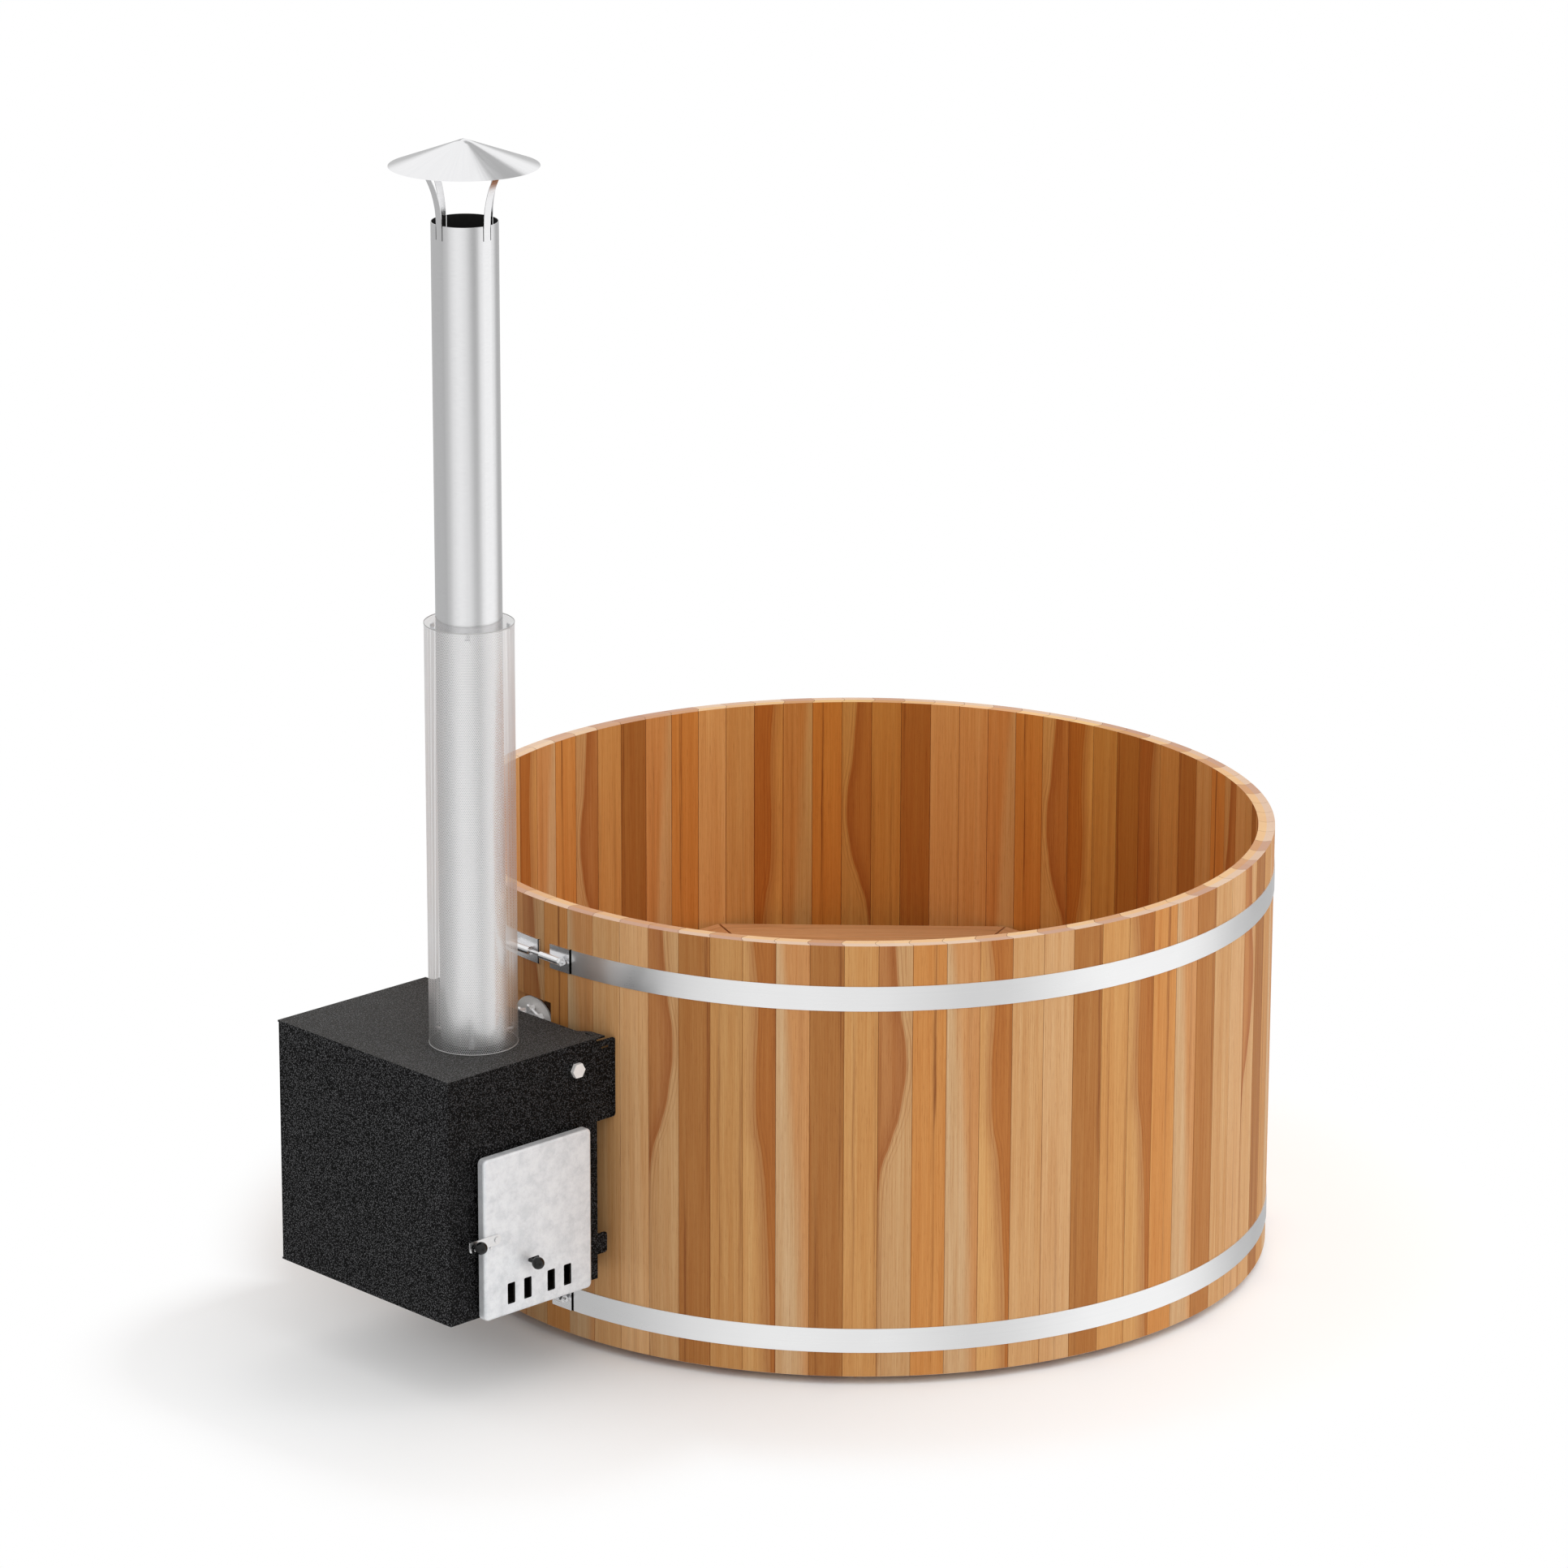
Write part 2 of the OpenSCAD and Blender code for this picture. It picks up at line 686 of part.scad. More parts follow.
// One side plate in the XZ plane, its outer face at y: a rectangle with an ear and a lower tab
// that reach the tub's wall, a slot in the ear and rounded corners
module side_plate(y) {
    wall_x = -sqrt(pow(tub_r, 2) - pow(abs(y) - plate_t, 2)) - slip;
    slot_len = 25.5;
    slot_r = 3;
    slot_x = wall_x - 16;
    slot_top = ear_z[1] - 17;
    tab_x = min(x_side + tab_l, wall_x - 20);
    difference() {
        union() {
            rounded_plate(x_outer, x_side, z_stove + plate_t, z_top - plate_t, plate_t, 1);
            rounded_plate(x_side - 40, wall_x, z_stove + ear_z[0], z_stove + ear_z[1],
                plate_t, ear_r);
            rounded_plate(x_side - 40, tab_x, z_stove + tab_z[0], z_stove + tab_z[1],
                plate_t, ear_r);
        }
        translate([0, -plate_t, 0]) rounded_plate(slot_x - slot_len, slot_x,
            z_stove + slot_top - slot_r, z_stove + slot_top + slot_r, plate_t * 3, slot_r - 0.01);
        translate([wall_x - 22, -plate_t, z_stove + ear_z[1]]) rotate([0, 45, 0])
            cube([12, plate_t * 3, 12], center = true);
    }
}

module stove_door_side() {
    color([0.11, 0.11, 0.11]) difference() {
        translate([0, y_face, 0]) side_plate(y_face);
        block([x_mouth - mouth_w / 2 - mouth_t, y_face - over, z_mouth - mouth_t],
            [x_mouth + mouth_w / 2 + mouth_t, y_face + plate_t + over, z_mouth + mouth_h + mouth_t]);
        translate([x_plug, 0, z_plug]) bar_y(y_face - over, y_face + plate_t + over, plug_r + fit);
    }
}

module stove_rear_side() {
    color([0.11, 0.11, 0.11]) translate([0, y_rear - plate_t, 0]) side_plate(y_rear);
}

// The top plate, with a slotted tab towards the wall near the door side
module stove_top_plate() {
    z = z_top - plate_t;
    color([0.11, 0.11, 0.11]) difference() {
        union() {
            block([x_outer, y_face, z], [x_side, y_rear + plate_lip, z_top]);
            translate([0, 0, z]) linear_extrude(plate_t) polygon([[x_side - over, y_face],
                [x_side + 24, y_face], [x_side + 21, y_face + 41], [x_side + 9, y_face + 56],
                [x_side - over, y_face + 66]]);
        }
        translate([x_side + 2, y_face + 18, z - over]) cube([5, 24, plate_t + 2 * over]);
        translate([x_flue, y_flue, z - over])
            cylinder(h = plate_t + 2 * over, r = collar_r + slip);
    }
}

module stove_base_plate() {
    color([0.11, 0.11, 0.11])
        block([x_outer, y_face, z_stove], [x_side, y_rear + plate_lip, z_stove + plate_t]);
}

// The two sides that stand between the door side and the rear side
module stove_cheek(x) {
    block([x, y_face + plate_t, z_stove + plate_t],
        [x + plate_t, y_rear - plate_t, z_top - plate_t]);
}

module stove_outer_side() {
    color([0.11, 0.11, 0.11]) stove_cheek(x_outer);
}

module stove_tub_side() {
    color([0.11, 0.11, 0.11]) difference() {
        stove_cheek(x_side - plate_t);
        for (z = z_pipes) translate([0, pipe_y, z])
            bar_x(x_side - 2 * plate_t, x_side + over, pipe_r + fit);
    }
}

module stove_spigots() {
    x_tip = (x_flange + x_side) / 2 - 1.5;
    color("silver") for (z = z_pipes) translate([0, pipe_y, z]) difference() {
        bar_x(x_side - plate_t - 8, x_tip, pipe_r);
        bar_x(x_side - plate_t - 8 - over, x_tip + over, pipe_r - pipe_t);
    }
}

// The fire chamber: a steel box open at the door side, with the flue hole in its top
module firebox() {
    x0 = x_mouth - firebox_w / 2;
    x1 = x_mouth + firebox_w / 2;
    y0 = y_face + plate_t;
    color([0.2, 0.19, 0.18]) difference() {
        block([x0, y0, z_firebox], [x1, y_face + firebox_d, z_firebox + firebox_h]);
        block([x0 + firebox_t, y0 - over, z_firebox + firebox_t],
            [x1 - firebox_t, y_face + firebox_d - firebox_t, z_firebox + firebox_h - firebox_t]);
        translate([x_flue, y_flue, z_firebox + firebox_h - 2 * firebox_t])
            cylinder(h = 3 * firebox_t, r = collar_r - 4);
    }
}

// The frame that leads from the door to the fire chamber
module firebox_mouth() {
    color([0.2, 0.19, 0.18]) difference() {
        block([x_mouth - mouth_w / 2 - mouth_t, y_face - mouth_out, z_mouth - mouth_t],
            [x_mouth + mouth_w / 2 + mouth_t, y_face + plate_t, z_mouth + mouth_h + mouth_t]);
        block([x_mouth - mouth_w / 2, y_face - mouth_out - over, z_mouth],
            [x_mouth + mouth_w / 2, y_face + plate_t + over, z_mouth + mouth_h]);
    }
}

grate_t = 14;
z_grate = z_firebox + firebox_t + grate_lift;

// A cast grate: bars between two cross rails
module fire_grate() {
    gx0 = x_mouth - firebox_w / 2 + firebox_t + 4;
    gx1 = x_mouth + firebox_w / 2 - firebox_t - 4;
    gy0 = y_face + plate_t + 12;
    gy1 = y_face + firebox_d - firebox_t - 12;
    bar_w = 14;
    step = (gx1 - gx0 - bar_w) / (grate_n - 1);
    color([0.25, 0.24, 0.23]) {
        for (k = [0 : grate_n - 1])
            block([gx0 + k * step, gy0, z_grate], [gx0 + k * step + bar_w, gy1, z_grate + grate_t]);
        for (y = [gy0, gy1 - bar_w])
            block([gx0, y, z_grate], [gx1, y + bar_w, z_grate + grate_t]);
    }
}

// Two angle ledges that carry the grate
module grate_ledges() {
    inner = firebox_w / 2 - firebox_t;
    color([0.2, 0.19, 0.18]) for (side = [-1, 1]) translate([x_mouth, 0, 0])
        block([min(side * inner, side * (inner - 18)), y_face + plate_t + 20, z_grate - 5],
            [max(side * inner, side * (inner - 18)), y_face + firebox_d - firebox_t - 20, z_grate]);
}

// The sleeve from the fire chamber's top through the top plate, for the chimney pipe
module flue_collar() {
    z0 = z_firebox + firebox_h;
    color([0.2, 0.19, 0.18]) translate([x_flue, y_flue, z0])
        tube(z_top + 60 - z0, collar_r, 3);
}

plug_r = 12;
plug_af = 31;
x_plug = x_side - 59;
z_plug = z_stove + 503;

// A hexagon plug screwed into the water jacket
module bleed_plug() {
    color("silver") translate([x_plug, y_face, z_plug]) {
        rotate([90, 0, 0]) cylinder(h = 9, r = plug_af / sqrt(3), $fn = 6);
        bar_y(0, plate_t + 8, plug_r);
    }
}

// Hinge brackets on the door side: a foot and a knuckle, with the pin in its bore
module hinge_brackets() {
    color([0.11, 0.11, 0.11]) for (z = hinge_zs) difference() {
        union() {
            translate([x_hinge, y_hinge, z - knuckle_l]) cylinder(h = knuckle_l, r = knuckle_r);
            block([x_hinge, y_hinge, z - knuckle_l], [x_hinge + knuckle_r, y_face, z]);
            block([x_hinge, y_face - foot_t, z - knuckle_l], [x_hinge + foot_l, y_face, z]);
        }
        translate([x_hinge, y_hinge, z - knuckle_l - over])
            cylinder(h = knuckle_l + 2 * over, r = hinge_r);
    }
}

module hinge_pins() {
    color("silver") for (z = hinge_zs) translate([x_hinge, y_hinge, z - knuckle_l])
        cylinder(h = 2 * knuckle_l - 2, r = hinge_r);
}

// A headed stud on the door side, over which the latch's hook drops
module latch_keeper() {
    stud_end = y_strip - 2.5;
    color("silver") translate([x_latch - hook_r, 0, z_latch]) {
        bar_y(stud_end, y_face, keeper_r);
        bar_y(stud_end, stud_end + 1.5, keeper_head);
        bar_y(y_face - 3, y_face, keeper_r + 3);
    }
}

// Door ---------------------------------------------------------------------

// A tray with rounded front edges, its back at y = 0 and its front towards -Y
module door_tray(x0, x1, z0, z1, d, rc, rf) {
    hull() for (x = [x0 + rc, x1 - rc], z = [z0 + rc, z1 - rc]) translate([x, 0, z])
        rotate([90, 0, 0]) {
            cylinder(h = d - rf, r = rc, $fn = 32);
            translate([0, 0, d - rf]) cylinder(h = rf * 0.6, r = rc - rf * 0.2, $fn = 32);
            cylinder(h = d, r = rc - rf, $fn = 32);
        }
}

module damper_slot_cuts(grow) {
    for (x = slot_xs) rounded_plate(x - slot_w / 2 - grow, x + slot_w / 2 + grow,
        z_door + slot_z - grow, z_door + slot_z + slot_h + grow, door_d, 3);
}

module door_panel() {
    y_back = y_door + door_d;
    color([0.85, 0.85, 0.85]) difference() {
        union() {
            difference() {
                translate([0, y_back, 0]) door_tray(x_door, x_door + door_w, z_door,
                    z_door + door_h, door_d, door_r, door_round);
                translate([0, y_back + over, 0]) door_tray(x_door + door_t,
                    x_door + door_w - door_t, z_door + door_t, z_door + door_h - door_t,
                    door_d - door_t + over, door_r - door_t, door_root);
            }
            translate([x_latch, 0, z_latch]) bar_y(y_door + door_t / 2, y_door + door_t + 4, 9);
        }
        translate([0, y_door - door_d / 2, 0]) damper_slot_cuts(0);
        translate([0, y_door - door_d / 2, 0]) rounded_plate(x_stem - stem_r - slip,
            x_stem + damper_travel + stem_r + slip, z_stem - stem_r - slip,
            z_stem + stem_r + slip, door_d, stem_r);
        translate([x_latch, 0, z_latch]) bar_y(y_door - over, y_back, rivet_r);
    }
}

// Leaves on the door's hinge edge, each with a knuckle that turns on the pin above its bracket
module door_hinge_leaves() {
    color("silver") for (z = hinge_zs) difference() {
        union() {
            translate([x_hinge, y_hinge, z + slip]) cylinder(h = knuckle_l, r = knuckle_r);
            block([x_door + door_w, y_door + door_round, z + slip],
                [x_door + door_w + leaf_t, y_hinge, z + slip + knuckle_l]);
        }
        translate([x_hinge, y_hinge, z - over])
            cylinder(h = knuckle_l + 3 * over, r = hinge_r + fit);
    }
}

// A rope seal in the tray, which meets the edge of the firebox's mouth
module door_seal() {
    color("whitesmoke") translate([0, y_door + door_t, 0]) difference() {
        rounded_plate(x_mouth - mouth_w / 2 - seal_w, x_mouth + mouth_w / 2 + seal_w,
            z_mouth - seal_w, z_mouth + mouth_h + seal_w, seal_d, door_r - door_t - seal_gap);
        block([x_mouth - mouth_w / 2, -over, z_mouth],
            [x_mouth + mouth_w / 2, seal_d + over, z_mouth + mouth_h]);
    }
}

// The damper plate: its ends, its edges and the tab that carries the stem
damper_x = [min(slot_xs) - slot_w / 2 - damper_travel - damper_lap,
    max(slot_xs) + slot_w / 2 + damper_lap];
damper_z = [z_door + slot_z - damper_lap, z_door + slot_z + slot_h + damper_lap];
tab_half = 9;
guide_t = 2;
guide_h = 6;

module damper_plate() {
    color("darkgray") {
        difference() {
            union() {
                block([damper_x[0], y_damper, damper_z[0]],
                    [damper_x[1], y_damper + damper_t, damper_z[1]]);
                block([x_stem - tab_half, y_damper, damper_z[1] - over],
                    [x_stem + tab_half, y_damper + damper_t, z_stem + tab_half]);
            }
            translate([0, y_damper - door_d / 2, 0]) damper_slot_cuts(damper_grow);
        }
        translate([x_stem, 0, z_stem]) bar_y(y_door - over, y_damper + over, stem_r);
    }
}

// One folded strip that holds an edge of the damper plate, from x0 to x1
module damper_guide(x0, x1, side) {
    edge = side < 0 ? damper_z[0] - slip : damper_z[1] + slip;
    y0 = y_door + door_t;
    y1 = y_damper + damper_t + slip;
    block([x0, y0, min(edge, edge + side * guide_h)], [x1, y1, max(edge, edge + side * guide_h)]);
    block([x0, y1, min(edge - side * damper_lap * 0.8, edge + side * guide_h)],
        [x1, y1 + guide_t, max(edge - side * damper_lap * 0.8, edge + side * guide_h)]);
}

// The strips above and below the damper plate; the upper one leaves a gap for the stem's tab
module damper_guides() {
    x0 = damper_x[0];
    x1 = damper_x[1] + damper_travel;
    color("darkgray") {
        damper_guide(x0, x1, -1);
        damper_guide(x0, x_stem - tab_half - 2, 1);
        damper_guide(x_stem + damper_travel + tab_half + 2, x1, 1);
    }
}

module damper_knob() {
    color([0.12, 0.12, 0.12]) translate([x_stem, y_door - over, z_stem])
        ball_knob(damper_knob_reach);
}

// The latch's pivot, and the stop pin that holds the strip level
module latch_rivet() {
    color("silver") {
        translate([x_latch, 0, z_latch]) {
            bar_y(y_strip - slip, y_door + door_t + 4, rivet_r - fit);
            bar_y(y_strip - slip - 2, y_strip - slip, rivet_r + 3);
        }
        translate([x_latch - 17, 0, z_latch - latch_w / 2 - 3 - slip]) bar_y(y_door - 4, y_door, 3);
    }
}

// The latch strip: its hook's slot is an arc about the pivot, so it lifts off the keeper
module latch_strip() {
    half = latch_w / 2;
    color("gainsboro") translate([x_latch, y_strip + latch_t, z_latch]) rotate([90, 0, 0])
        linear_extrude(latch_t) difference() {
            union() {
                circle(half);
                translate([-latch_l + 4, -half]) square([latch_l - 4, latch_w]);
                translate([-latch_l, -half + 4]) square([latch_l, latch_w - 8]);
                for (y = [-half + 4, half - 4]) translate([-latch_l + 4, y]) circle(4);
            }
            circle(rivet_r);
            translate([-hook_r, 0]) circle(hook_slot / 2);
            intersection() {
                difference() {
                    circle(hook_r + hook_slot / 2);
                    circle(hook_r - hook_slot / 2);
                }
                translate([-2 * latch_l, -2 * latch_l]) square(2 * latch_l);
            }
        }
}

module latch_knob() {
    color([0.12, 0.12, 0.12]) translate([x_latch - latch_knob_x, y_strip, z_latch])
        ball_knob(latch_knob_reach);
}

// Chimney ------------------------------------------------------------------

// The legs are cut from the pipe's end and bent outwards along an arc, up to the cap
leg_rise = cap_lift + cap_h * (1 - leg_reach / cap_r);
leg_bend = 2 * atan((leg_reach - flue_r) / leg_rise);
leg_arc = leg_rise / sin(leg_bend);

module cap_cone(drop) {
    translate([0, 0, z_cap - drop]) cylinder(h = cap_h, r1 = cap_r, r2 = 0, $fn = 128);
}

module cap_leg() {
    under = cap_t + slip;
    root = 4;   // how far the leg's foot runs down into the pipe's wall
    lap = 0.1;
    rotate([90, 0, 0]) translate([0, 0, -leg_w / 2]) linear_extrude(leg_w) {
        translate([flue_r - flue_t, -root]) square([flue_t, root + lap]);
        intersection() {
            translate([flue_r + leg_arc, 0]) difference() {
                circle(leg_arc + flue_t, $fn = 192);
                circle(leg_arc, $fn = 192);
            }
            polygon([[0, 0], [cap_r, 0], [cap_r, cap_lift - under],
                [0, cap_lift + cap_h - under]]);
        }
    }
}

module chimney_pipe() {
    slit_w = 2;
    slit_d = 32;
    color("gainsboro") translate([x_flue, y_flue, 0]) {
        difference() {
            translate([0, 0, z_top]) tube(flue_h, flue_r, flue_t, 128);
            for (a = [0 : 90 : 270], side = [-1, 1]) rotate([0, 0, a])
                block([flue_r - 10, side * (leg_w + slit_w) / 2 - slit_w / 2, z_pipe_end - slit_d],
                    [flue_r + 10, side * (leg_w + slit_w) / 2 + slit_w / 2, z_pipe_end + over]);
        }
        translate([0, 0, z_pipe_end]) for (a = [0 : 90 : 270]) rotate([0, 0, a]) cap_leg();
    }
}

// A cone of thin sheet
module chimney_cap() {
    color("gainsboro") translate([x_flue, y_flue, 0]) difference() {
        cap_cone(0);
        cap_cone(cap_t);
    }
}

// The guard's fine perforation is left plain here; its rims are folded outwards
module chimney_guard() {
    rim_h = 5;
    rim_t = 0.8;
    color([0.8, 0.8, 0.8, 0.6]) translate([x_flue, y_flue, z_top]) difference() {
        union() {
            cylinder(h = guard_h, r = guard_r - rim_t, $fn = 128);
            for (z = [0, guard_h - rim_h]) translate([0, 0, z])
                cylinder(h = rim_h, r = guard_r, $fn = 128);
        }
        translate([0, 0, -over]) cylinder(h = guard_h + 2 * over, r = guard_r - rim_t - guard_t, $fn = 128);
    }
}

// Bent clips that keep the guard round the pipe, near the guard's two ends
module guard_spacers() {
    clip_w = 12;
    r_in = flue_r + 0.1;
    r_out = guard_r - 0.8 - guard_t - 0.1;
    color("silver") translate([x_flue, y_flue, z_top])
        for (z = [14, guard_h - 30], a = [-14 : 120 : 226]) rotate([0, 0, a]) intersection() {
            translate([0, 0, z]) difference() {
                cylinder(h = clip_w, r = r_out);
                translate([0, 0, -over]) cylinder(h = clip_w + 2 * over, r = r_in);
            }
            union() {
                block([0, -clip_w / 2, z], [r_out, clip_w / 2, z + 1.5]);
                block([r_out - 3, -clip_w / 2, z], [r_out, clip_w / 2, z + clip_w]);
                block([0, -clip_w / 2, z], [r_in + 3, clip_w / 2, z + clip_w]);
            }
        }
}

// Drain --------------------------------------------------------------------

// A flange outside the wall, welded to the pipe that passes through it to the valve
module drain_fitting() {
    x_in = inner_r + 0.5 - gasket_t - 6 - 5;
    x_plate = x_drain_seat + gasket_t;
    color("silver") translate([0, 0, z_drain]) difference() {
        union() {
            bar_x(x_in, x_valve, drain_r);
            bar_x(x_plate, x_plate + flange_t, drain_flange_r);
        }
        bar_x(x_in - over, x_valve + over, drain_r - 2.5);
    }
}

// The valve's body, with a seat for the ball, a neck for the stem and a smooth hose tail
module drain_valve() {
    x_end = x_valve + valve_l;
    color("goldenrod") translate([0, 0, z_drain]) difference() {
        union() {
            bar_x(x_valve, x_end, ball_r + 3);
            bar_x(x_end, x_end + tail_l, drain_r);
            translate([x_valve_mid, 0, 0]) cylinder(h = neck_h, r = 9);
        }
        bar_x(x_valve - over, x_end + tail_l + over, drain_r - 2.5);
        translate([x_valve_mid, 0, 0]) sphere(ball_r + slip);
        translate([x_valve_mid, 0, 0]) cylinder(h = neck_h + over, r = drain_stem_r + fit);
    }
}

// The ball and its stem; shut, its bore lies across the pipe
module drain_ball() {
    color("silver") translate([x_valve_mid, 0, z_drain]) difference() {
        union() {
            sphere(ball_r);
            cylinder(h = neck_h + 3, r = drain_stem_r);
        }
        bar_y(-2 * ball_r, 2 * ball_r, drain_r - 2.5);
    }
}

// The lever on the stem, across the pipe when shut
module drain_lever() {
    lever_t = 4;
    lever_w = 16;
    color("firebrick") translate([x_valve_mid, 0, z_drain + neck_h + 3]) {
        cylinder(h = lever_t, r = 11);
        block([-lever_w / 2, -lever_l + lever_w / 2, 0], [lever_w / 2, 0, lever_t]);
        translate([0, -lever_l + lever_w / 2, 0]) cylinder(h = lever_t, r = lever_w / 2);
    }
}

staves(1);  // staves_1
staves(2);  // staves_2
staves(3);  // staves_3
staves(4);  // staves_4
staves(5);  // staves_5
staves(6);  // staves_6
staves(7);  // staves_7
staves(8);  // staves_8
floor_boards();
floor_joists();
hoop(z_hoops[0]);  // hoop_upper
hoop(z_hoops[1]);  // hoop_lower
hoop_lugs();
tension_rods();
tension_nuts();
bench_outer_boards();
bench_inner_boards();
bench_bearers();
bench_legs();
bench_battens();
wall_fitting(z_pipes[0]);  // upper_wall_fitting
wall_fitting(z_pipes[1]);  // lower_wall_fitting
fitting_ring_nuts();
fitting_gaskets();
water_hoses();
hose_clamps();
stove_door_side();
stove_rear_side();
stove_top_plate();
stove_base_plate();
stove_outer_side();
stove_tub_side();
stove_spigots();
firebox();
firebox_mouth();
fire_grate();
grate_ledges();
flue_collar();
bleed_plug();
hinge_brackets();
hinge_pins();
latch_keeper();
door_panel();
door_hinge_leaves();
door_seal();
damper_guides();
latch_rivet();
latch_strip();
latch_knob();
damper_plate();
damper_knob();
chimney_pipe();
chimney_cap();
chimney_guard();
guard_spacers();
drain_fitting();
drain_valve();
drain_ball();
drain_lever();
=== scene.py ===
# %% [markdown]
# # A wooden hot tub with an outside stove
# The object is a ring of upright red-cedar boards held by two steel hoops. A black wood stove
# hangs on its side, and a stainless chimney with a perforated guard rises from the stove. The
# pieces come from the CAD model at their real size, in metres. This script gives each of them
# its finish, and makes the few surfaces that a solid model is too coarse for.

# %% Load the model
import math

import bpy
import numpy as np
from mathutils import Matrix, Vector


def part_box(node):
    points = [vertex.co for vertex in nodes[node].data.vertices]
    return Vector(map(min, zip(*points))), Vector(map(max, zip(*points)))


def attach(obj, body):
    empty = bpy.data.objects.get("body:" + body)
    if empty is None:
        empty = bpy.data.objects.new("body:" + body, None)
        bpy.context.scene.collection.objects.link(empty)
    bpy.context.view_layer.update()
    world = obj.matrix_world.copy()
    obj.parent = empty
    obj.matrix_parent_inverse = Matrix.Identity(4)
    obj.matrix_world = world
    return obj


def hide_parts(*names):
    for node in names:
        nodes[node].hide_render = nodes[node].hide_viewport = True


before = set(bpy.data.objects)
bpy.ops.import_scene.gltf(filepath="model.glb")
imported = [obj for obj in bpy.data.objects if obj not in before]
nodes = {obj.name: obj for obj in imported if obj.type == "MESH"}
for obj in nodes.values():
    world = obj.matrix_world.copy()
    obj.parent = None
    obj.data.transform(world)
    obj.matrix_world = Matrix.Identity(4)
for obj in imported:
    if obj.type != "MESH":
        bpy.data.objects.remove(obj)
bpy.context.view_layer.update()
scene = bpy.context.scene
scene.view_settings.view_transform = "Standard"

# %% [markdown]
# ## Camera
# The tub was seen from above and far away with a long lens, so its upright lines stay nearly
# upright. A camera could be aimed by hand, but these numbers were solved from known shapes,
# the round rim and the stove's box. The depth of field stays off.

# %% Camera
CAMERA_PLACE = (-10.5600, -10.7859, 5.7449)
CAMERA_TURN, CAMERA_TILT, CAMERA_ROLL = (math.radians(a) for a in (-43.738, 72.872, 0.168))
SENSOR_MM, LENS_MM = 36, 158.28

lens = bpy.data.cameras.new("camera")
lens.sensor_width = SENSOR_MM
lens.lens = LENS_MM
camera = bpy.data.objects.new("camera", lens)
turn = Matrix.Rotation(CAMERA_TURN, 4, "Z") @ Matrix.Rotation(CAMERA_TILT, 4, "X")
camera.matrix_world = (
    Matrix.Translation(CAMERA_PLACE) @ turn @ Matrix.Rotation(CAMERA_ROLL, 4, "Z")
)
scene.collection.objects.link(camera)
scene.camera = camera
print("camera at", CAMERA_PLACE, "lens", lens.lens, "mm")


# %% [markdown]
# ## Colours as a screen shows them
# A renderer counts light in even steps, but a screen's numbers run along a curve. Colours could
# be typed as linear values, which are hard to picture. Here they are written as 0 to 255, as a
# colour picker on a picture shows them, and this function bends them back.

# %% Screen colours
def tone(red, green, blue):
    """Screen colour, 0 to 255, as linear red, green and blue."""
    c = np.array([red, green, blue], float) / 255
    return tuple(np.where(c <= 0.04045, c / 12.92, ((c + 0.055) / 1.055) ** 2.4).tolist())


print("middle grey on a screen is", round(tone(128, 128, 128)[0], 3), "in even steps")


# %% [markdown]
# ## Writing node trees in words
# A shader is a tree of small nodes. Placing each one by hand takes many lines, so this class
# adds a node, feeds its inputs and returns its output, and a recipe then reads like a sum.

# %% Sums of nodes
class Sums:
    """Adds nodes to a tree. Each call feeds one node and returns what it puts out."""

    def __init__(self, tree):
        self.tree = tree

    def feed(self, socket, value):
        if isinstance(value, bpy.types.NodeSocket):
            self.tree.links.new(value, socket)
        elif socket.type == "RGBA":
            socket.default_value = (*value[:3], 1)
        else:
            socket.default_value = value

    def add(self, kind, feeds=None, out=0, **settings):
        node = self.tree.nodes.new("ShaderNode" + kind)
        for name, value in settings.items():
            setattr(node, name, value)
        for name, value in (feeds or {}).items():
            self.feed(node.inputs[name], value)
        return node.outputs[out]

    def math(self, operation, *values):
        return self.add("Math", dict(enumerate(values)), operation=operation)

    def total(self, first, *others):
        for other in others:
            first = self.math("ADD", first, other)
        return first

    def times(self, first, *others):
        for other in others:
            first = self.math("MULTIPLY", first, other)
        return first

    def vector(self, operation, *values, out=0):
        return self.add("VectorMath", dict(enumerate(values)), out, operation=operation)

    def split(self, vector):
        node = self.add("SeparateXYZ", {0: vector}).node
        return node.outputs[0], node.outputs[1], node.outputs[2]

    def join(self, x, y, z):
        return self.add("CombineXYZ", {0: x, 1: y, 2: z})


print("words for sums:", [word for word in vars(Sums) if not word.startswith("_")])


# %% [markdown]
# ## Patterns and colours in words
# Sums alone make no wood. A pattern could come from a picture, but noise has no edge and no
# fixed size. These words add noise, colour bands, drawn curves and groups to the sums, and each
# is one node with its settings filled in.

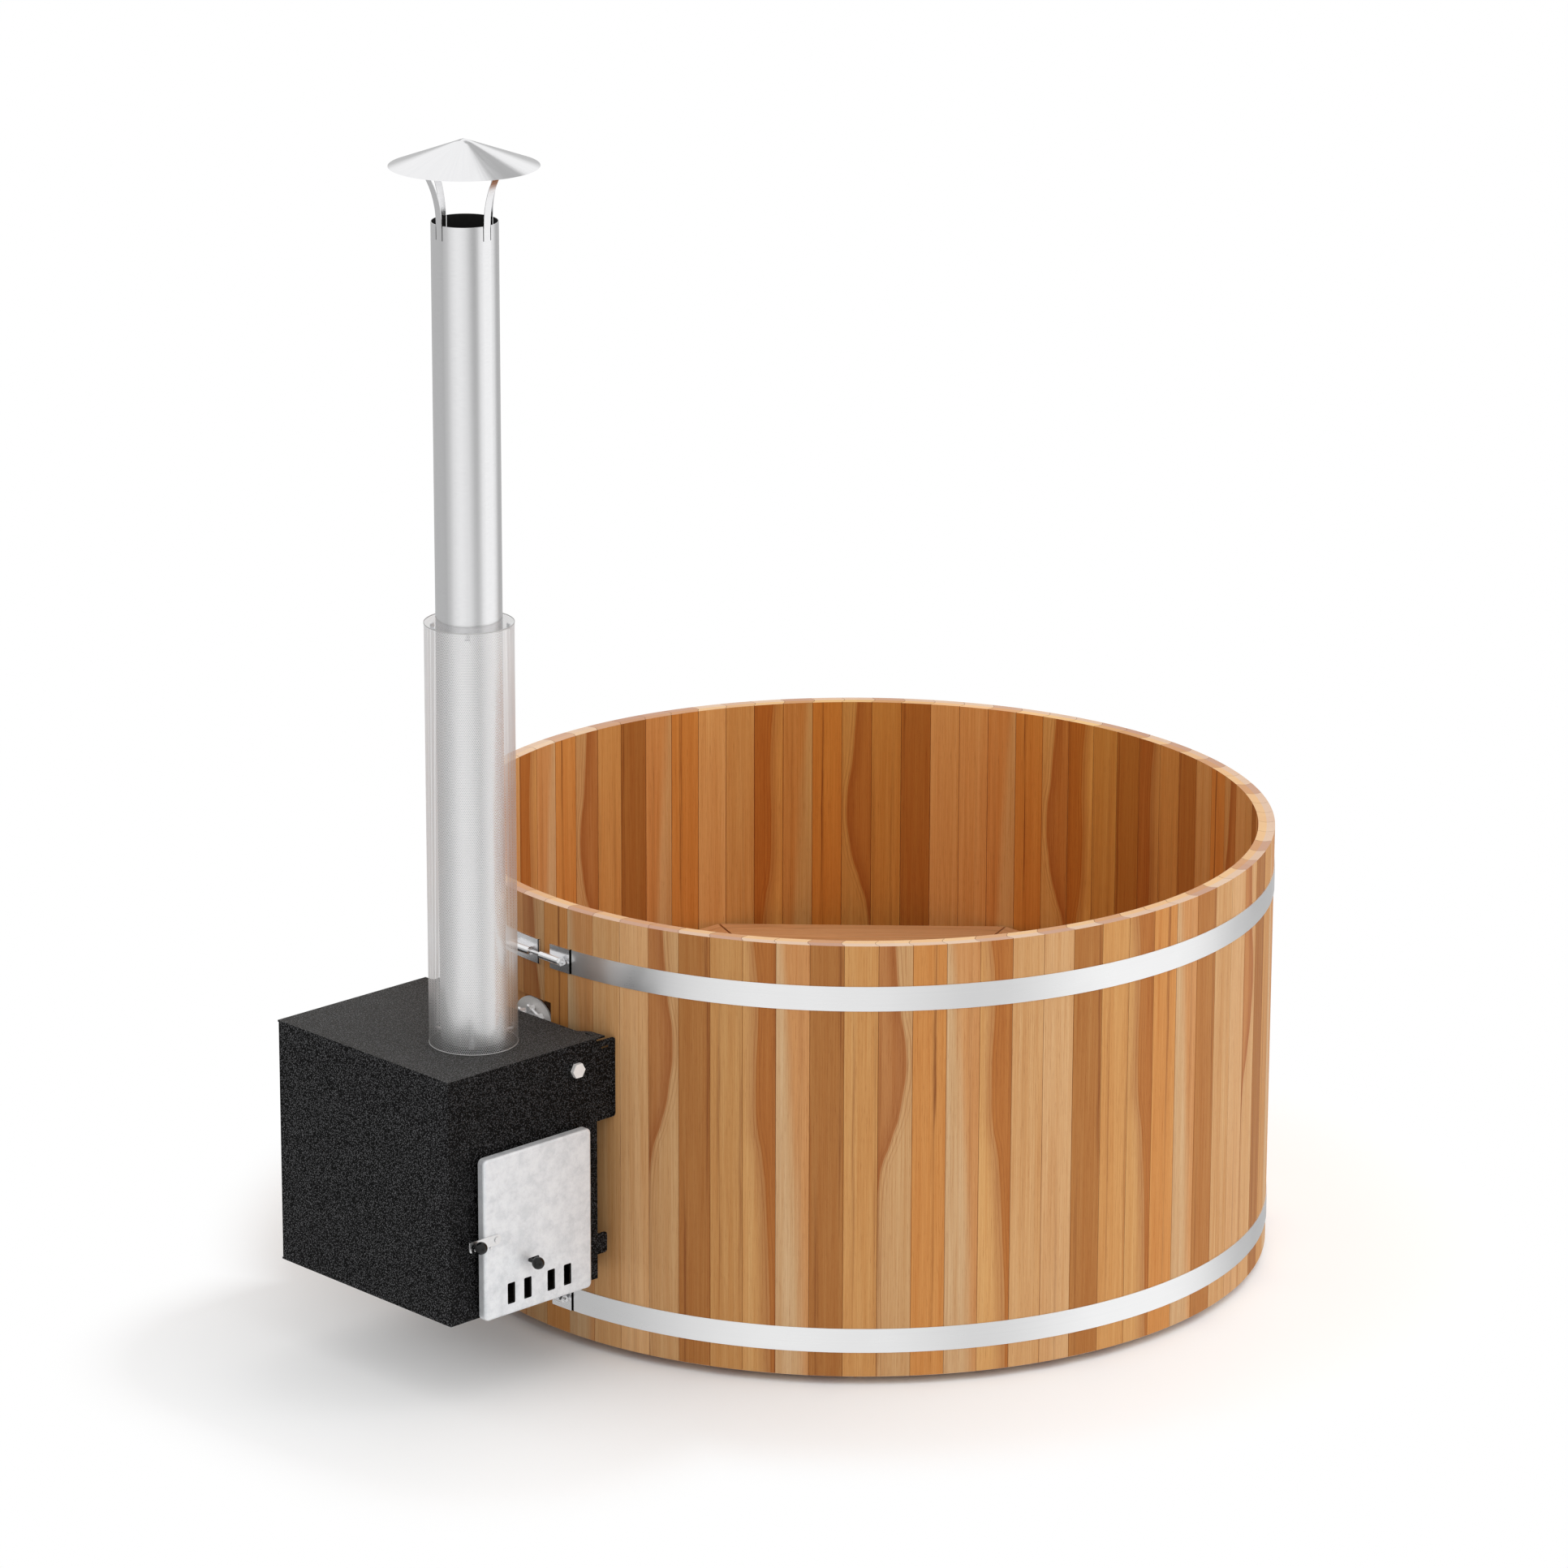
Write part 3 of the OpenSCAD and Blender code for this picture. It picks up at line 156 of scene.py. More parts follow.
# %% Patterns and colours
class Recipe(Sums):
    """Sums, and the nodes that make patterns and colours."""

    def span(self, value, low, high, first=0.0, last=1.0):
        """Value runs smoothly from first at low to last at high, and stays there."""
        feeds = {"Value": value, 1: low, 2: high, 3: first, 4: last}
        return self.add("MapRange", feeds, interpolation_type="SMOOTHSTEP")

    def mix(self, share, first, second, blend="MIX"):
        feeds = {0: share, 6: first, 7: second}
        return self.add("Mix", feeds, 2, data_type="RGBA", blend_type=blend)

    def noise(self, place, scale=1.0, detail=2.0, rough=0.5, bend=0.0):
        feeds = {"Vector": place, "Scale": scale, "Detail": detail}
        return self.add("TexNoise", {**feeds, "Roughness": rough, "Distortion": bend})

    def random(self, number):
        return self.add("TexWhiteNoise", {"W": number}, noise_dimensions="1D")

    def ramp(self, value, stops, steps=False):
        """Colours or greys at places from 0 to 1, as bands or blended."""
        node = self.add("ValToRGB", {0: value}).node
        bar = node.color_ramp
        bar.interpolation = "CONSTANT" if steps else "LINEAR"
        while len(bar.elements) < len(stops):
            bar.elements.new(1.0)
        for element, (place, colour) in zip(bar.elements, stops):
            element.position = place
            colour = colour if hasattr(colour, "__len__") else (colour,) * 3
            element.color = (*colour, 1)
        return node.outputs[0]

    def curve(self, value, points):
        """A number from 0 to 1 through a smooth drawn line."""
        node = self.add("FloatCurve", {"Value": value}).node
        line = node.mapping.curves[0]
        while len(line.points) < len(points):
            line.points.new(0.5, 0.5)
        for point, (x, y) in zip(line.points, points):
            point.location = (x, y)
        node.mapping.update()
        return node.outputs[0]

    def group(self, tree, **feeds):
        node = self.tree.nodes.new("ShaderNodeGroup")
        node.node_tree = tree
        for name, value in feeds.items():
            self.feed(node.inputs[name], value)
        return node.outputs


print("words for patterns:", [word for word in vars(Recipe) if not word.startswith("_")])


# %% [markdown]
# ## Groups and finishes
# An effect that several finishes share, such as grain, is a node group: one small tree with
# inputs and outputs of its own, built once and used many times. The group gives colours and
# masks only. Each finish is a material of its own and keeps its shader, which is the part that
# decides how light leaves the surface.

# %% Groups and finishes
def make_group(name, takes, gives, body):
    """A shader node group. takes and gives are {title: socket kind}."""
    tree = bpy.data.node_groups.new(name, "ShaderNodeTree")
    for way, sockets in (("INPUT", takes), ("OUTPUT", gives)):
        for title, kind in sockets.items():
            tree.interface.new_socket(title, in_out=way, socket_type="NodeSocket" + kind)
    start, end = tree.nodes.new("NodeGroupInput"), tree.nodes.new("NodeGroupOutput")
    recipe = Recipe(tree)
    for title, value in body(recipe, start.outputs).items():
        recipe.feed(end.inputs[title], value)
    return tree


class Finish(Recipe):
    """A material: its node tree, its place on the object, and the shader it ends in."""

    def __init__(self, name, **plain):
        self.material = bpy.data.materials.new(name + "_finish")
        self.material.use_nodes = True
        super().__init__(self.material.node_tree)
        self.shader = self.tree.nodes["Principled BSDF"]
        self.place = self.add("TexCoord", out="Object")
        for title, value in plain.items():
            self.feed(self.shader.inputs[title.replace("_", " ")], value)

    def surface(self, colour, rough, height=None, depth=0.001, strength=1.0, metal=None):
        self.feed(self.shader.inputs["Base Color"], colour)
        self.feed(self.shader.inputs["Roughness"], rough)
        if metal is not None:
            self.feed(self.shader.inputs["Metallic"], metal)
        if height is not None:
            feeds = {"Strength": strength, "Distance": depth, "Height": height}
            self.feed(self.shader.inputs["Normal"], self.add("Bump", feeds))
        return self.material


print("each finish ends in the shader named Principled BSDF")


# %% [markdown]
# ## Dressing the CAD pieces
# The pieces arrive with a plain material each. A finish could be linked to every object by hand
# in the material tab. This function swaps it into the slots that each mesh has already, so the
# meshes themselves are left as they are.

# %% Dressing
def dress(finish, *names):
    """Puts a finish on CAD pieces, in place of the plain material each came with."""
    for name in names:
        slots = nodes[name].data.materials
        for i in range(max(1, len(slots))):
            if i < len(slots):
                slots[i] = finish
            else:
                slots.append(finish)
    print(finish.name, "->", len(names), "pieces")


print("pieces that wait for a finish:", len(nodes))


# %% [markdown]
# ## Wood grain, used by every wooden piece
# Sawn cedar shows fine streaks that run with the board, short dark pores, and slow clouds of
# colour. A picture of wood would repeat and blur, so the grain is noise that is stretched along
# the board: the coordinates across it are scaled up far more than those along it. The group is
# built once, and each wooden finish gives it the board's own directions.

# %% Grain group
def grain_body(n, given):
    x, y, z = n.split(given["Place"])
    shift = n.times(given["Seed"], 17.31)
    wide = n.join(n.total(n.times(x, 60.0), shift), n.times(y, 60.0), n.times(z, 1.1))
    fine = n.join(n.total(n.times(x, 420.0), shift), n.times(y, 420.0), n.times(z, 3.2))
    hair = n.join(n.total(n.times(x, 1500.0), shift), n.times(y, 1500.0), n.times(z, 22.0))
    clouds = n.noise(wide, 1.0, 3.0, 0.5, 0.4)
    streaks = n.noise(fine, 1.0, 4.0, 0.6, 0.3)
    pores = n.noise(hair, 1.0, 2.0, 0.7)
    sum_of = n.total(n.times(clouds, 0.35), n.times(streaks, 0.4), n.times(pores, 0.25))
    return {
        "Clouds": n.span(clouds, 0.3, 0.7),
        "Streaks": n.span(streaks, 0.32, 0.68),
        "Pores": n.span(pores, 0.56, 0.72),
        "Height": sum_of,
    }


GRAIN = make_group(
    "wood_grain",
    {"Place": "Vector", "Seed": "Float"},
    {"Clouds": "Float", "Streaks": "Float", "Pores": "Float", "Height": "Float"},
    grain_body,
)
print("group", GRAIN.name, "has", len(GRAIN.nodes), "nodes")


# %% [markdown]
# ## How grain changes a colour
# Grain darkens wood, and never turns it grey. So the colour is multiplied by warm pale tones, one
# for each layer of the grain, and the layers' masks say how much of each is seen.

# %% Grain over a colour
def grain_colour(n, colour, grain, strength=1.0):
    """Darkens a colour in its streaks and pores and lets the clouds shift it a little."""
    cloudy = n.mix(n.times(grain["Clouds"], strength), colour, tone(246, 236, 224), "MULTIPLY")
    deep = n.mix(1.0, cloudy, tone(228, 202, 176), "MULTIPLY")
    streaked = n.mix(n.times(grain["Streaks"], 0.5 * strength), cloudy, deep)
    dark = n.mix(1.0, streaked, tone(190, 148, 112), "MULTIPLY")
    return n.mix(n.times(grain["Pores"], 0.55 * strength), streaked, dark)


print("grain layers: clouds, streaks, pores")


# %% [markdown]
# ## The staves
# The wall is eighty boards, each with a bead on one edge that sits in a hollow of the next.
# Eight sorts of board take turns round the wall: some plain, some with a flame of heartwood.
# Eighty materials would do it, but one is easier to keep. It finds the board from the azimuth
# and looks the board's sort up in this list.

# %% Stave sizes and sorts
BOARDS = 80
PHASE = 1.2 / 360                # the first joint stands a little before azimuth 0
TUB_R, MID_R = 0.952, 0.933      # outside of the wall, and the middle of its thickness
BOARD_W = 2 * math.pi * MID_R / BOARDS
BEAD_R, BEAD_IN = 0.020, 0.013   # radius of a bead, and how far its centre is past the joint
BEAD_HALF = 0.0152               # half the thickness that the bead takes up on the rim
Z_LOW, Z_RIM = 0.020, 1.020
SKIN = 0.0004                    # a face is told from its neighbours within this depth
SORT_NAMES = "ABCDEFGH"
SORTS = (
    "BCDAFEGHBCAFEDGHFEBCAFED"
    "GHBCAFEDBGHCDFEA"
    "FEGHABCDEBCAFEDGHBCDFEBGHABCEDABGHAFGBCD"
)
RAMP_STOPS = 32                  # a colour ramp holds no more stops than this


def sort_value(sort):
    """A sort's letter as a grey in the middle of its own eighth."""
    return (SORT_NAMES.index(sort) + 0.5) / len(SORT_NAMES)


print("boards of each sort:", {sort: SORTS.count(sort) for sort in SORT_NAMES})


# %% [markdown]
# ## Which board is it?
# The azimuth counts the boards, and what is left over is the place across one board. On the rim
# the joint isn't straight: a bead on each board reaches into the next, and points inside that
# circle belong to the next number. The distance to the nearest joint comes out too, so that a
# thin dark line can follow it. The list of sorts is longer than one colour ramp can hold, so
# three ramps share it.

# %% Stave group
def stave_body(n, given):
    x, y, z = n.split(given["Place"])
    round_by = n.total(n.times(n.math("ARCTAN2", y, x), 0.5 / math.pi), PHASE)
    count = n.math("WRAP", n.times(round_by, BOARDS), float(BOARDS), 0.0)
    board, across = n.math("FLOOR", count), n.math("FRACT", count)
    radius = n.vector("LENGTH", n.join(x, y, 0.0), out=1)
    off_middle = n.math("SUBTRACT", radius, MID_R)
    to_bead = n.total(n.times(n.math("SUBTRACT", 1.0, across), BOARD_W), BEAD_IN)
    from_bead = n.vector("LENGTH", n.join(to_bead, off_middle, 0.0), out=1)
    in_bead = n.math("LESS_THAN", from_bead, BEAD_R)
    straight = n.times(n.math("MINIMUM", across, n.math("SUBTRACT", 1.0, across)), BOARD_W)
    arc = n.math("ABSOLUTE", n.math("SUBTRACT", from_bead, BEAD_R))
    arc_near = n.total(arc, n.math("LESS_THAN", across, 0.5))   # a metre off on the other half
    flat = n.math("GREATER_THAN", n.math("ABSOLUTE", off_middle), BEAD_HALF)
    gap = n.total(n.times(straight, flat), n.times(arc_near, n.math("SUBTRACT", 1.0, flat)))
    number = n.math("WRAP", n.total(board, in_bead), float(BOARDS), 0.0)
    chunks = []
    for start in range(0, BOARDS, RAMP_STOPS):
        part = SORTS[start : start + RAMP_STOPS]
        stops = [(i / RAMP_STOPS, sort_value(s)) for i, s in enumerate(part)]
        place = n.math("DIVIDE", n.math("SUBTRACT", number, start - 0.5), float(RAMP_STOPS))
        chunks.append(n.ramp(place, stops, steps=True))
    sort = n.mix(n.math("GREATER_THAN", number, RAMP_STOPS - 0.5), chunks[0], chunks[1])
    sort = n.mix(n.math("GREATER_THAN", number, 2 * RAMP_STOPS - 0.5), sort, chunks[2])
    return {
        "Board": number,
        "Across": n.math("SUBTRACT", across, in_bead),
        "Sort": sort,
        "Gap": gap,
        "Radius": radius,
    }


STAVE = make_group(
    "stave_place",
    {"Place": "Vector"},
    dict.fromkeys(("Board", "Across", "Sort", "Gap", "Radius"), "Float"),
    stave_body,
)
print("group", STAVE.name, "has", len(STAVE.nodes), "nodes")

# %% [markdown]
# ## Colours of the boards
# A cedar board is pale sapwood, red-brown heartwood, or both. Where a board holds both, a wavy
# line parts them, often shaped like a flame, because the saw met the trunk's cone at a slant. A
# picture could carry this, but it would repeat. So each sort has two colours, a line drawn as a
# curve up the board, and two dark streaks.

# %% Stave colours, lines and streaks
# For each sort: the colour left of its line, the colour right of it, and how soft the line is.
SORT_LOOKS = {
    "A": ((195, 136, 82), (214, 171, 121), 0.030),
    "B": ((182, 125, 68), (182, 125, 68), 0.030),
    "C": ((211, 160, 100), (211, 160, 100), 0.030),
    "D": ((220, 172, 112), (187, 122, 62), 0.025),
    "E": ((218, 183, 140), (214, 159, 104), 0.200),
    "F": ((218, 155, 88), (218, 155, 88), 0.030),
    "G": ((218, 173, 121), (218, 173, 121), 0.030),
    "H": ((224, 180, 130), (224, 180, 130), 0.030),
}
# The line's place across the board, 0 to 1, at heights from 0 to 1.
HEART_LINES = {
    "A": [(0, 0), (0.38, 0), (0.47, 0.1), (0.55, 0.4), (0.65, 0.72), (0.74, 0.82), (0.85, 0.65),
          (1, 0.5)],
    "D": [(0, 0.88), (0.1, 0.86), (0.2, 0.83), (0.3, 0.78), (0.4, 0.7), (0.5, 0.6), (0.6, 0.42),
          (0.7, 0.4), (0.85, 0.45), (1, 0.33)],
    "E": [(0, 0.82), (0.2, 0.75), (0.4, 0.65), (0.6, 0.5), (0.8, 0.35), (1, 0.15)],
}
# Two dark streaks for each sort: place across, strength, and the height of their middle.
STREAKS = (
    {"A": (0.97, 0, 0.5), "B": (0.91, 0.8, 0.75), "C": (0.94, 0.5, 0.5), "D": (0.97, 0.4, 0.8),
     "E": (0.72, 0.3, 0.6), "F": (0.65, 1.0, 0.9), "G": (0.4, 0.15, 0.5), "H": (0.5, 0.3, 0.05)},
    {"A": (0.03, 0.4, 0.45), "B": (0.2, 0.7, 0.1), "C": (0.28, 0.5, 0.5), "D": (0.55, 0.1, 0.2),
     "E": (0.1, 0.15, 0.3), "F": (0.62, 0.4, 0.4), "G": (0.75, 0.1, 0.5), "H": (0.3, 0.1, 0.2)},
)
DEEP_HEART = tone(158, 88, 42)   # heartwood close to its line
print("sorts with a heartwood line:", sorted(HEART_LINES))


# %% [markdown]
# ## Drawing the heartwood
# The group measures how far a point is beyond its board's line. Near the line the heartwood is
# deeper, and beyond it fine rings follow the same shape, as they do in sawn wood. A slow noise
# sways the line, and a faster one breaks the streaks, so that no two boards are alike.

# %% Heartwood group
def by_sort(n, sort, values):
    """A constant ramp with one band for each sort of board."""
    stops = [(i / len(SORT_NAMES), values[s]) for i, s in enumerate(SORT_NAMES)]
    return n.ramp(sort, stops, steps=True)


def heart_body(n, given):
    across, up, sort, seed = (given[k] for k in ("Across", "Up", "Sort", "Seed"))
    line = 2.0
    for letter, points in HEART_LINES.items():
        here = n.math("COMPARE", sort, sort_value(letter), 0.02)
        drawn = n.curve(n.math("MAXIMUM", up, 0.0), points)
        line = n.total(n.times(n.math("SUBTRACT", 1.0, here), line), n.times(here, drawn))
    wave = n.noise(n.join(n.times(across, 2.0), n.times(seed, 3.7), n.times(up, 4.0)), 1.0, 3.0)
    wave = n.math("SUBTRACT", wave, 0.5)
    beyond = n.total(n.math("SUBTRACT", across, line), n.times(wave, 0.14))
    soft = by_sort(n, sort, {s: look[2] for s, look in SORT_LOOKS.items()})
    side = n.span(beyond, n.times(soft, -1.0), soft)
    left = by_sort(n, sort, {s: tone(*look[0]) for s, look in SORT_LOOKS.items()})
    right = by_sort(n, sort, {s: tone(*look[1]) for s, look in SORT_LOOKS.items()})
    close = n.span(n.math("ABSOLUTE", n.math("SUBTRACT", beyond, 0.05)), 0.0, 0.35, 1.0, 0.0)
    rings = n.span(n.math("SINE", n.times(beyond, 58.0)), 0.2, 1.0)
    sharp = n.math("LESS_THAN", soft, 0.1)
    lines = n.times(rings, close, sharp)
    deep = n.times(n.span(beyond, -0.5, 0.0), n.math("LESS_THAN", beyond, 0.0), sharp)
    bent = n.total(across, n.times(wave, 0.2))
    fibres = n.join(n.times(across, 22.0), n.times(seed, 5.1), n.times(up, 2.4))
    broken = n.span(n.noise(fibres, 1.0, 4.0, 0.6, 0.5), 0.38, 0.6, 0.15, 1.25)
    streak = 0.0
    for values in STREAKS:
        place, strength, height = n.split(by_sort(n, sort, values))
        beside = n.span(n.math("ABSOLUTE", n.math("SUBTRACT", bent, place)), 0.0, 0.085, 1.0, 0.0)
        reach = n.span(n.math("ABSOLUTE", n.math("SUBTRACT", up, height)), 0.15, 0.5, 1.0, 0.0)
        streak = n.total(streak, n.times(beside, strength, reach, broken))
    deeper = n.mix(n.times(deep, 0.45), left, DEEP_HEART)
    return {"Color": n.mix(side, deeper, right), "Lines": lines, "Streak": streak}


HEART = make_group(
    "stave_heartwood",
    {"Across": "Float", "Up": "Float", "Sort": "Float", "Seed": "Float"},
    {"Color": "Color", "Lines": "Float", "Streak": "Float"},
    heart_body,
)
print("group", HEART.name, "has", len(HEART.nodes), "nodes")

# %% [markdown]
# ## Small facts of the stave finish
# The planed inside face is redder than the outside, and its tint drifts slowly from board to
# board; the tint is partly the wood's own colour and partly painted shade, which changes round
# the wall. Sawn ends show growth rings and come in two tones, pale and pinkish. The joints are
# thin dark lines. The pockets sawn for the water connections get painted shade in the corner
# next to the door side. All this could be separate materials on separate faces, but masks made
# from the radius and the height find the faces by themselves.

# %% Stave finish values
# Board number, and the tint of its inside face: partly the wood's own, partly painted shade.
INSIDE_TINTS_AND_SHADE = (
    (2, (1.16, 1.06, 0.67)), (6, (1.15, 0.96, 0.68)), (10, (1.01, 0.87, 0.50)),
    (14, (1.06, 0.93, 0.65)), (18, (1.03, 0.95, 0.78)), (22, (1.09, 1.09, 1.03)),
    (28, (1.09, 0.97, 0.70)), (76, (1.09, 0.97, 0.70)),
)
POCKET_Y, POCKET_Z, POCKET_HALF = 0.0673, (0.720, 0.270), 0.0685
# The corner of each pocket next to the door side is darkened with painted shade.
CORNER_Y = 0.034                 # a pocket is dark from its door side to here
PAINTED_POCKET_SHADE = tone(38, 16, 8)
RING_LINE, DARK_STREAK = tone(150, 84, 38), tone(132, 74, 34)
END_TONES = [(0, tone(192, 152, 132)), (0.36, tone(198, 160, 138)),
             (0.46, tone(220, 190, 166)), (1, tone(226, 200, 176))]
END_RINGS, JOINT_LINE = tone(176, 126, 104), tone(110, 64, 42)
JOINT_EDGE = (0.0002, 0.0009)    # a joint's line fades between these distances from it
RINGS_PER_METRE = 3200.0         # counted in radians of a sine
print("pockets at heights", POCKET_Z, "and inside tints at", len(INSIDE_TINTS_AND_SHADE), "boards")


# %% [markdown]
# ## Sawn ends and pockets
# A board's end shows the rings of the trunk as nearly straight lines, because the board is small
# and the pith is far off. So the rings are a sine of the distance from the tub's axis, moved a
# little for each board. The pocket's corner, where shade is painted, is found by its place: how
# far round, how high, and how deep in the wall.

# %% Sawn ends and pockets
def sawn_end(n, x, y, board, colour):
    """Pale end wood with rings: sine of the distance from the pith, swayed by a noise."""
    pith_x = n.total(x, n.times(n.random(board), 0.05))
    sway = n.noise(n.join(n.times(x, 35.0), n.times(y, 35.0), board), 1.0, 2.0)
    from_pith = n.vector("LENGTH", n.join(pith_x, y, 0.0), out=1)
    rings = n.math("SINE", n.total(n.times(from_pith, RINGS_PER_METRE), n.times(sway, 14.0)))
    pale = n.mix(0.1, n.ramp(n.random(n.total(board, 7.7)), END_TONES), colour)
    return n.mix(n.times(n.span(rings, -0.2, 1.0), 0.25), pale, END_RINGS)


def pocket_corner(n, x, y, z, radius):
    """1 in the corner of either pocket where shade is painted, below the wall's skin, and 0
    elsewhere.
    """
    heights = (n.math("COMPARE", z, middle, POCKET_HALF) for middle in POCKET_Z)
    return n.times(n.math("COMPARE", y, POCKET_Y, POCKET_HALF), n.math("LESS_THAN", x, 0.0),
                   n.span(y, CORNER_Y, CORNER_Y + 0.004, 1.0, 0.0),
                   n.math("LESS_THAN", radius, TUB_R - 3 * SKIN),
                   n.math("GREATER_THAN", radius, MID_R), n.math("MAXIMUM", *heights))


print("rings on the ends are", round(2000 * math.pi / RINGS_PER_METRE, 1), "mm apart")


# %% [markdown]
# ## The stave finish
# The colour is built in this order: heartwood, streaks and grain first, then the sawn ends, the
# painted shade in the pockets' corner, the inside tint with its share of painted shade, and the
# joints last. The bump is shallow, because the boards are planed.

# %% Stave finish
def stave_finish():
    n = Finish("stave_wood", Specular_IOR_Level=0.16)
    at = n.group(STAVE, Place=n.place)
    x, y, z = n.split(n.place)
    up = n.math("SUBTRACT", z, Z_LOW)
    board = at["Board"]
    inside = n.math("LESS_THAN", at["Radius"], MID_R)
    seed = n.total(board, n.times(inside, 0.37))
    heart = n.group(HEART, Across=at["Across"], Up=up, Sort=at["Sort"], Seed=board)
    own_place = n.join(n.times(at["Across"], BOARD_W), n.math("SUBTRACT", at["Radius"], MID_R), up)
    grain = n.group(GRAIN, Place=own_place, Seed=seed)
    ringed = n.mix(n.times(heart["Lines"], 0.36), heart["Color"], RING_LINE)
    streaked = n.mix(n.times(heart["Streak"], 0.7), ringed, DARK_STREAK)
    wood = grain_colour(n, streaked, grain)
    swing = n.math("SUBTRACT", n.random(board), 0.5)
    shade = n.ramp(n.total(n.times(swing, 0.9), 0.5), [(0, 0.88), (1, 1.0)])
    wood = n.mix(1.0, wood, shade, "MULTIPLY")
    top = n.math("GREATER_THAN", z, Z_RIM - SKIN)
    bottom = n.math("LESS_THAN", z, Z_LOW + SKIN)
    cut = n.math("MAXIMUM", top, bottom)
    colour = n.mix(cut, wood, sawn_end(n, x, y, board, heart["Color"]))
    joint = n.span(at["Gap"], *JOINT_EDGE, 1.0, 0.0)
    # painted shade in the pockets' corner
    pocket_shade = pocket_corner(n, x, y, z, at["Radius"])
    colour = n.mix(n.times(pocket_shade, 0.9), colour, PAINTED_POCKET_SHADE)
    # inside tint, partly the wood's own colour and partly painted shade that changes round the wall
    stops = [(number / BOARDS, rgb) for number, rgb in INSIDE_TINTS_AND_SHADE]
    inside_tint_and_shade = n.ramp(n.math("DIVIDE", board, float(BOARDS)), stops)
    colour = n.mix(inside, colour, n.mix(1.0, colour, inside_tint_and_shade, "MULTIPLY"))
    shown = n.total(n.times(top, 0.32), n.times(inside, 0.2), 0.33)
    colour = n.mix(n.times(joint, shown), colour, JOINT_LINE)
    rough = n.total(n.times(grain["Streaks"], 0.12), n.times(cut, 0.15), 0.44)
    height = n.math("SUBTRACT", grain["Height"], n.times(joint, 1.5))
    return n.surface(colour, rough, height, depth=0.0004, strength=0.5)


dress(stave_finish(), *(f"staves_{i}" for i in range(1, 9)))


# %% [markdown]
# ## Planks
# Bench, floor and frame are planks of one wood, and differ in the way they lie. Each could have
# a material drawn on its own. Here one recipe takes the directions across, through and along a
# board, and a seed that gives each board its own tone and figure.

# %% Plank recipe
TIMBER = [(214, 160, 108), (226, 178, 128), (200, 142, 92)]
DARK_TIMBER = [(170, 116, 70), (186, 130, 82), (158, 104, 62)]
FIGURE_LINE = tone(150, 92, 52)


def plank_finish(n, colours, across, depth, along, seed, rough=0.5):
    """Wood with streaks along one direction; each seed draws its own tone and figure."""
    grain = n.group(GRAIN, Place=n.join(across, depth, along), Seed=seed)
    figure = n.noise(n.join(n.times(across, 9.0), seed, n.times(along, 0.8)), 1.0, 2.0, 0.5, 0.6)
    lines = n.span(n.math("SINE", n.times(figure, 85.0)), 0.3, 1.0)
    stops = [(place, tone(*colour)) for place, colour in zip((0, 0.5, 1), colours)]
    base = n.mix(n.times(lines, 0.2), n.ramp(n.random(seed), stops), FIGURE_LINE)
    colour = grain_colour(n, base, grain, 0.9)
    return n.surface(colour, n.total(n.times(grain["Streaks"], 0.12), rough), grain["Height"],
                     depth=0.0004, strength=0.5)


print("plank tones on a screen:", TIMBER)


# %% [markdown]
# ## Bench
# The seat boards meet at mitres every 45 degrees, so their grain has to turn at each corner. Each
# side could be an object with axes of its own. Instead the azimuth is rounded to the nearest
# eighth of a turn, and the coordinates are turned back by it, which gives every side the same
# frame.

# %% Bench finishes
BENCH_ROW = 0.1435               # from one row of seat boards to the next


def turned_place(n, offset):
    """Object coordinates in the frame of the nearest eighth, and the eighth's number."""
    x, y, z = n.split(n.place)
    azimuth = n.math("ARCTAN2", y, x)
    eighth = n.math("ROUND", n.math("DIVIDE", n.math("SUBTRACT", azimuth, offset), math.pi / 4))
    back = n.total(n.times(eighth, math.pi / 4), offset)
    cos, sin = n.math("COSINE", back), n.math("SINE", back)
    out = n.total(n.times(x, cos), n.times(y, sin))
    along = n.math("SUBTRACT", n.times(y, cos), n.times(x, sin))
    return out, along, z, eighth


bench = Finish("bench_wood", Specular_IOR_Level=0.28)
out, along, up, eighth = turned_place(bench, 0.0)
row = bench.math("FLOOR", bench.math("DIVIDE", out, BENCH_ROW))
seed = bench.total(bench.times(eighth, 3.0), row, 40.0)
dress(plank_finish(bench, TIMBER, out, up, along, seed), "bench_outer_boards", "bench_inner_boards")

rails = Finish("bearer_wood", Specular_IOR_Level=0.28)
out, along, up, eighth = turned_place(rails, math.pi / 8)
dress(plank_finish(rails, TIMBER, along, up, out, rails.total(eighth, 9.0)), "bench_bearers")

posts = Finish("leg_wood", Specular_IOR_Level=0.28)
out, along, up, eighth = turned_place(posts, math.pi / 8)
dress(plank_finish(posts, TIMBER, along, out, up, posts.total(eighth, 23.0)),
      "bench_legs", "bench_battens")

# %% [markdown]
# ## Floor boards and joists
# Thirteen floor boards lie side by side across the joists. One material tells them apart: the
# place across the floor, counted in board widths, is the seed. The joists are darker, because
# they stand near the damp ground.

# %% Floor and joist finishes
FLOOR_BOARDS = 13
FLOOR_HALF = 0.914 + 0.015       # the wall's inside radius and the depth of its groove
JOIST_PITCH = 0.312

boards = Finish("floor_wood", Specular_IOR_Level=0.25)
x, y, z = boards.split(boards.place)
from_edge = boards.total(x, FLOOR_HALF)
number = boards.math("FLOOR", boards.math("DIVIDE", from_edge, 2 * FLOOR_HALF / FLOOR_BOARDS))
dress(plank_finish(boards, TIMBER, x, z, y, boards.total(number, 61.0)), "floor_boards")

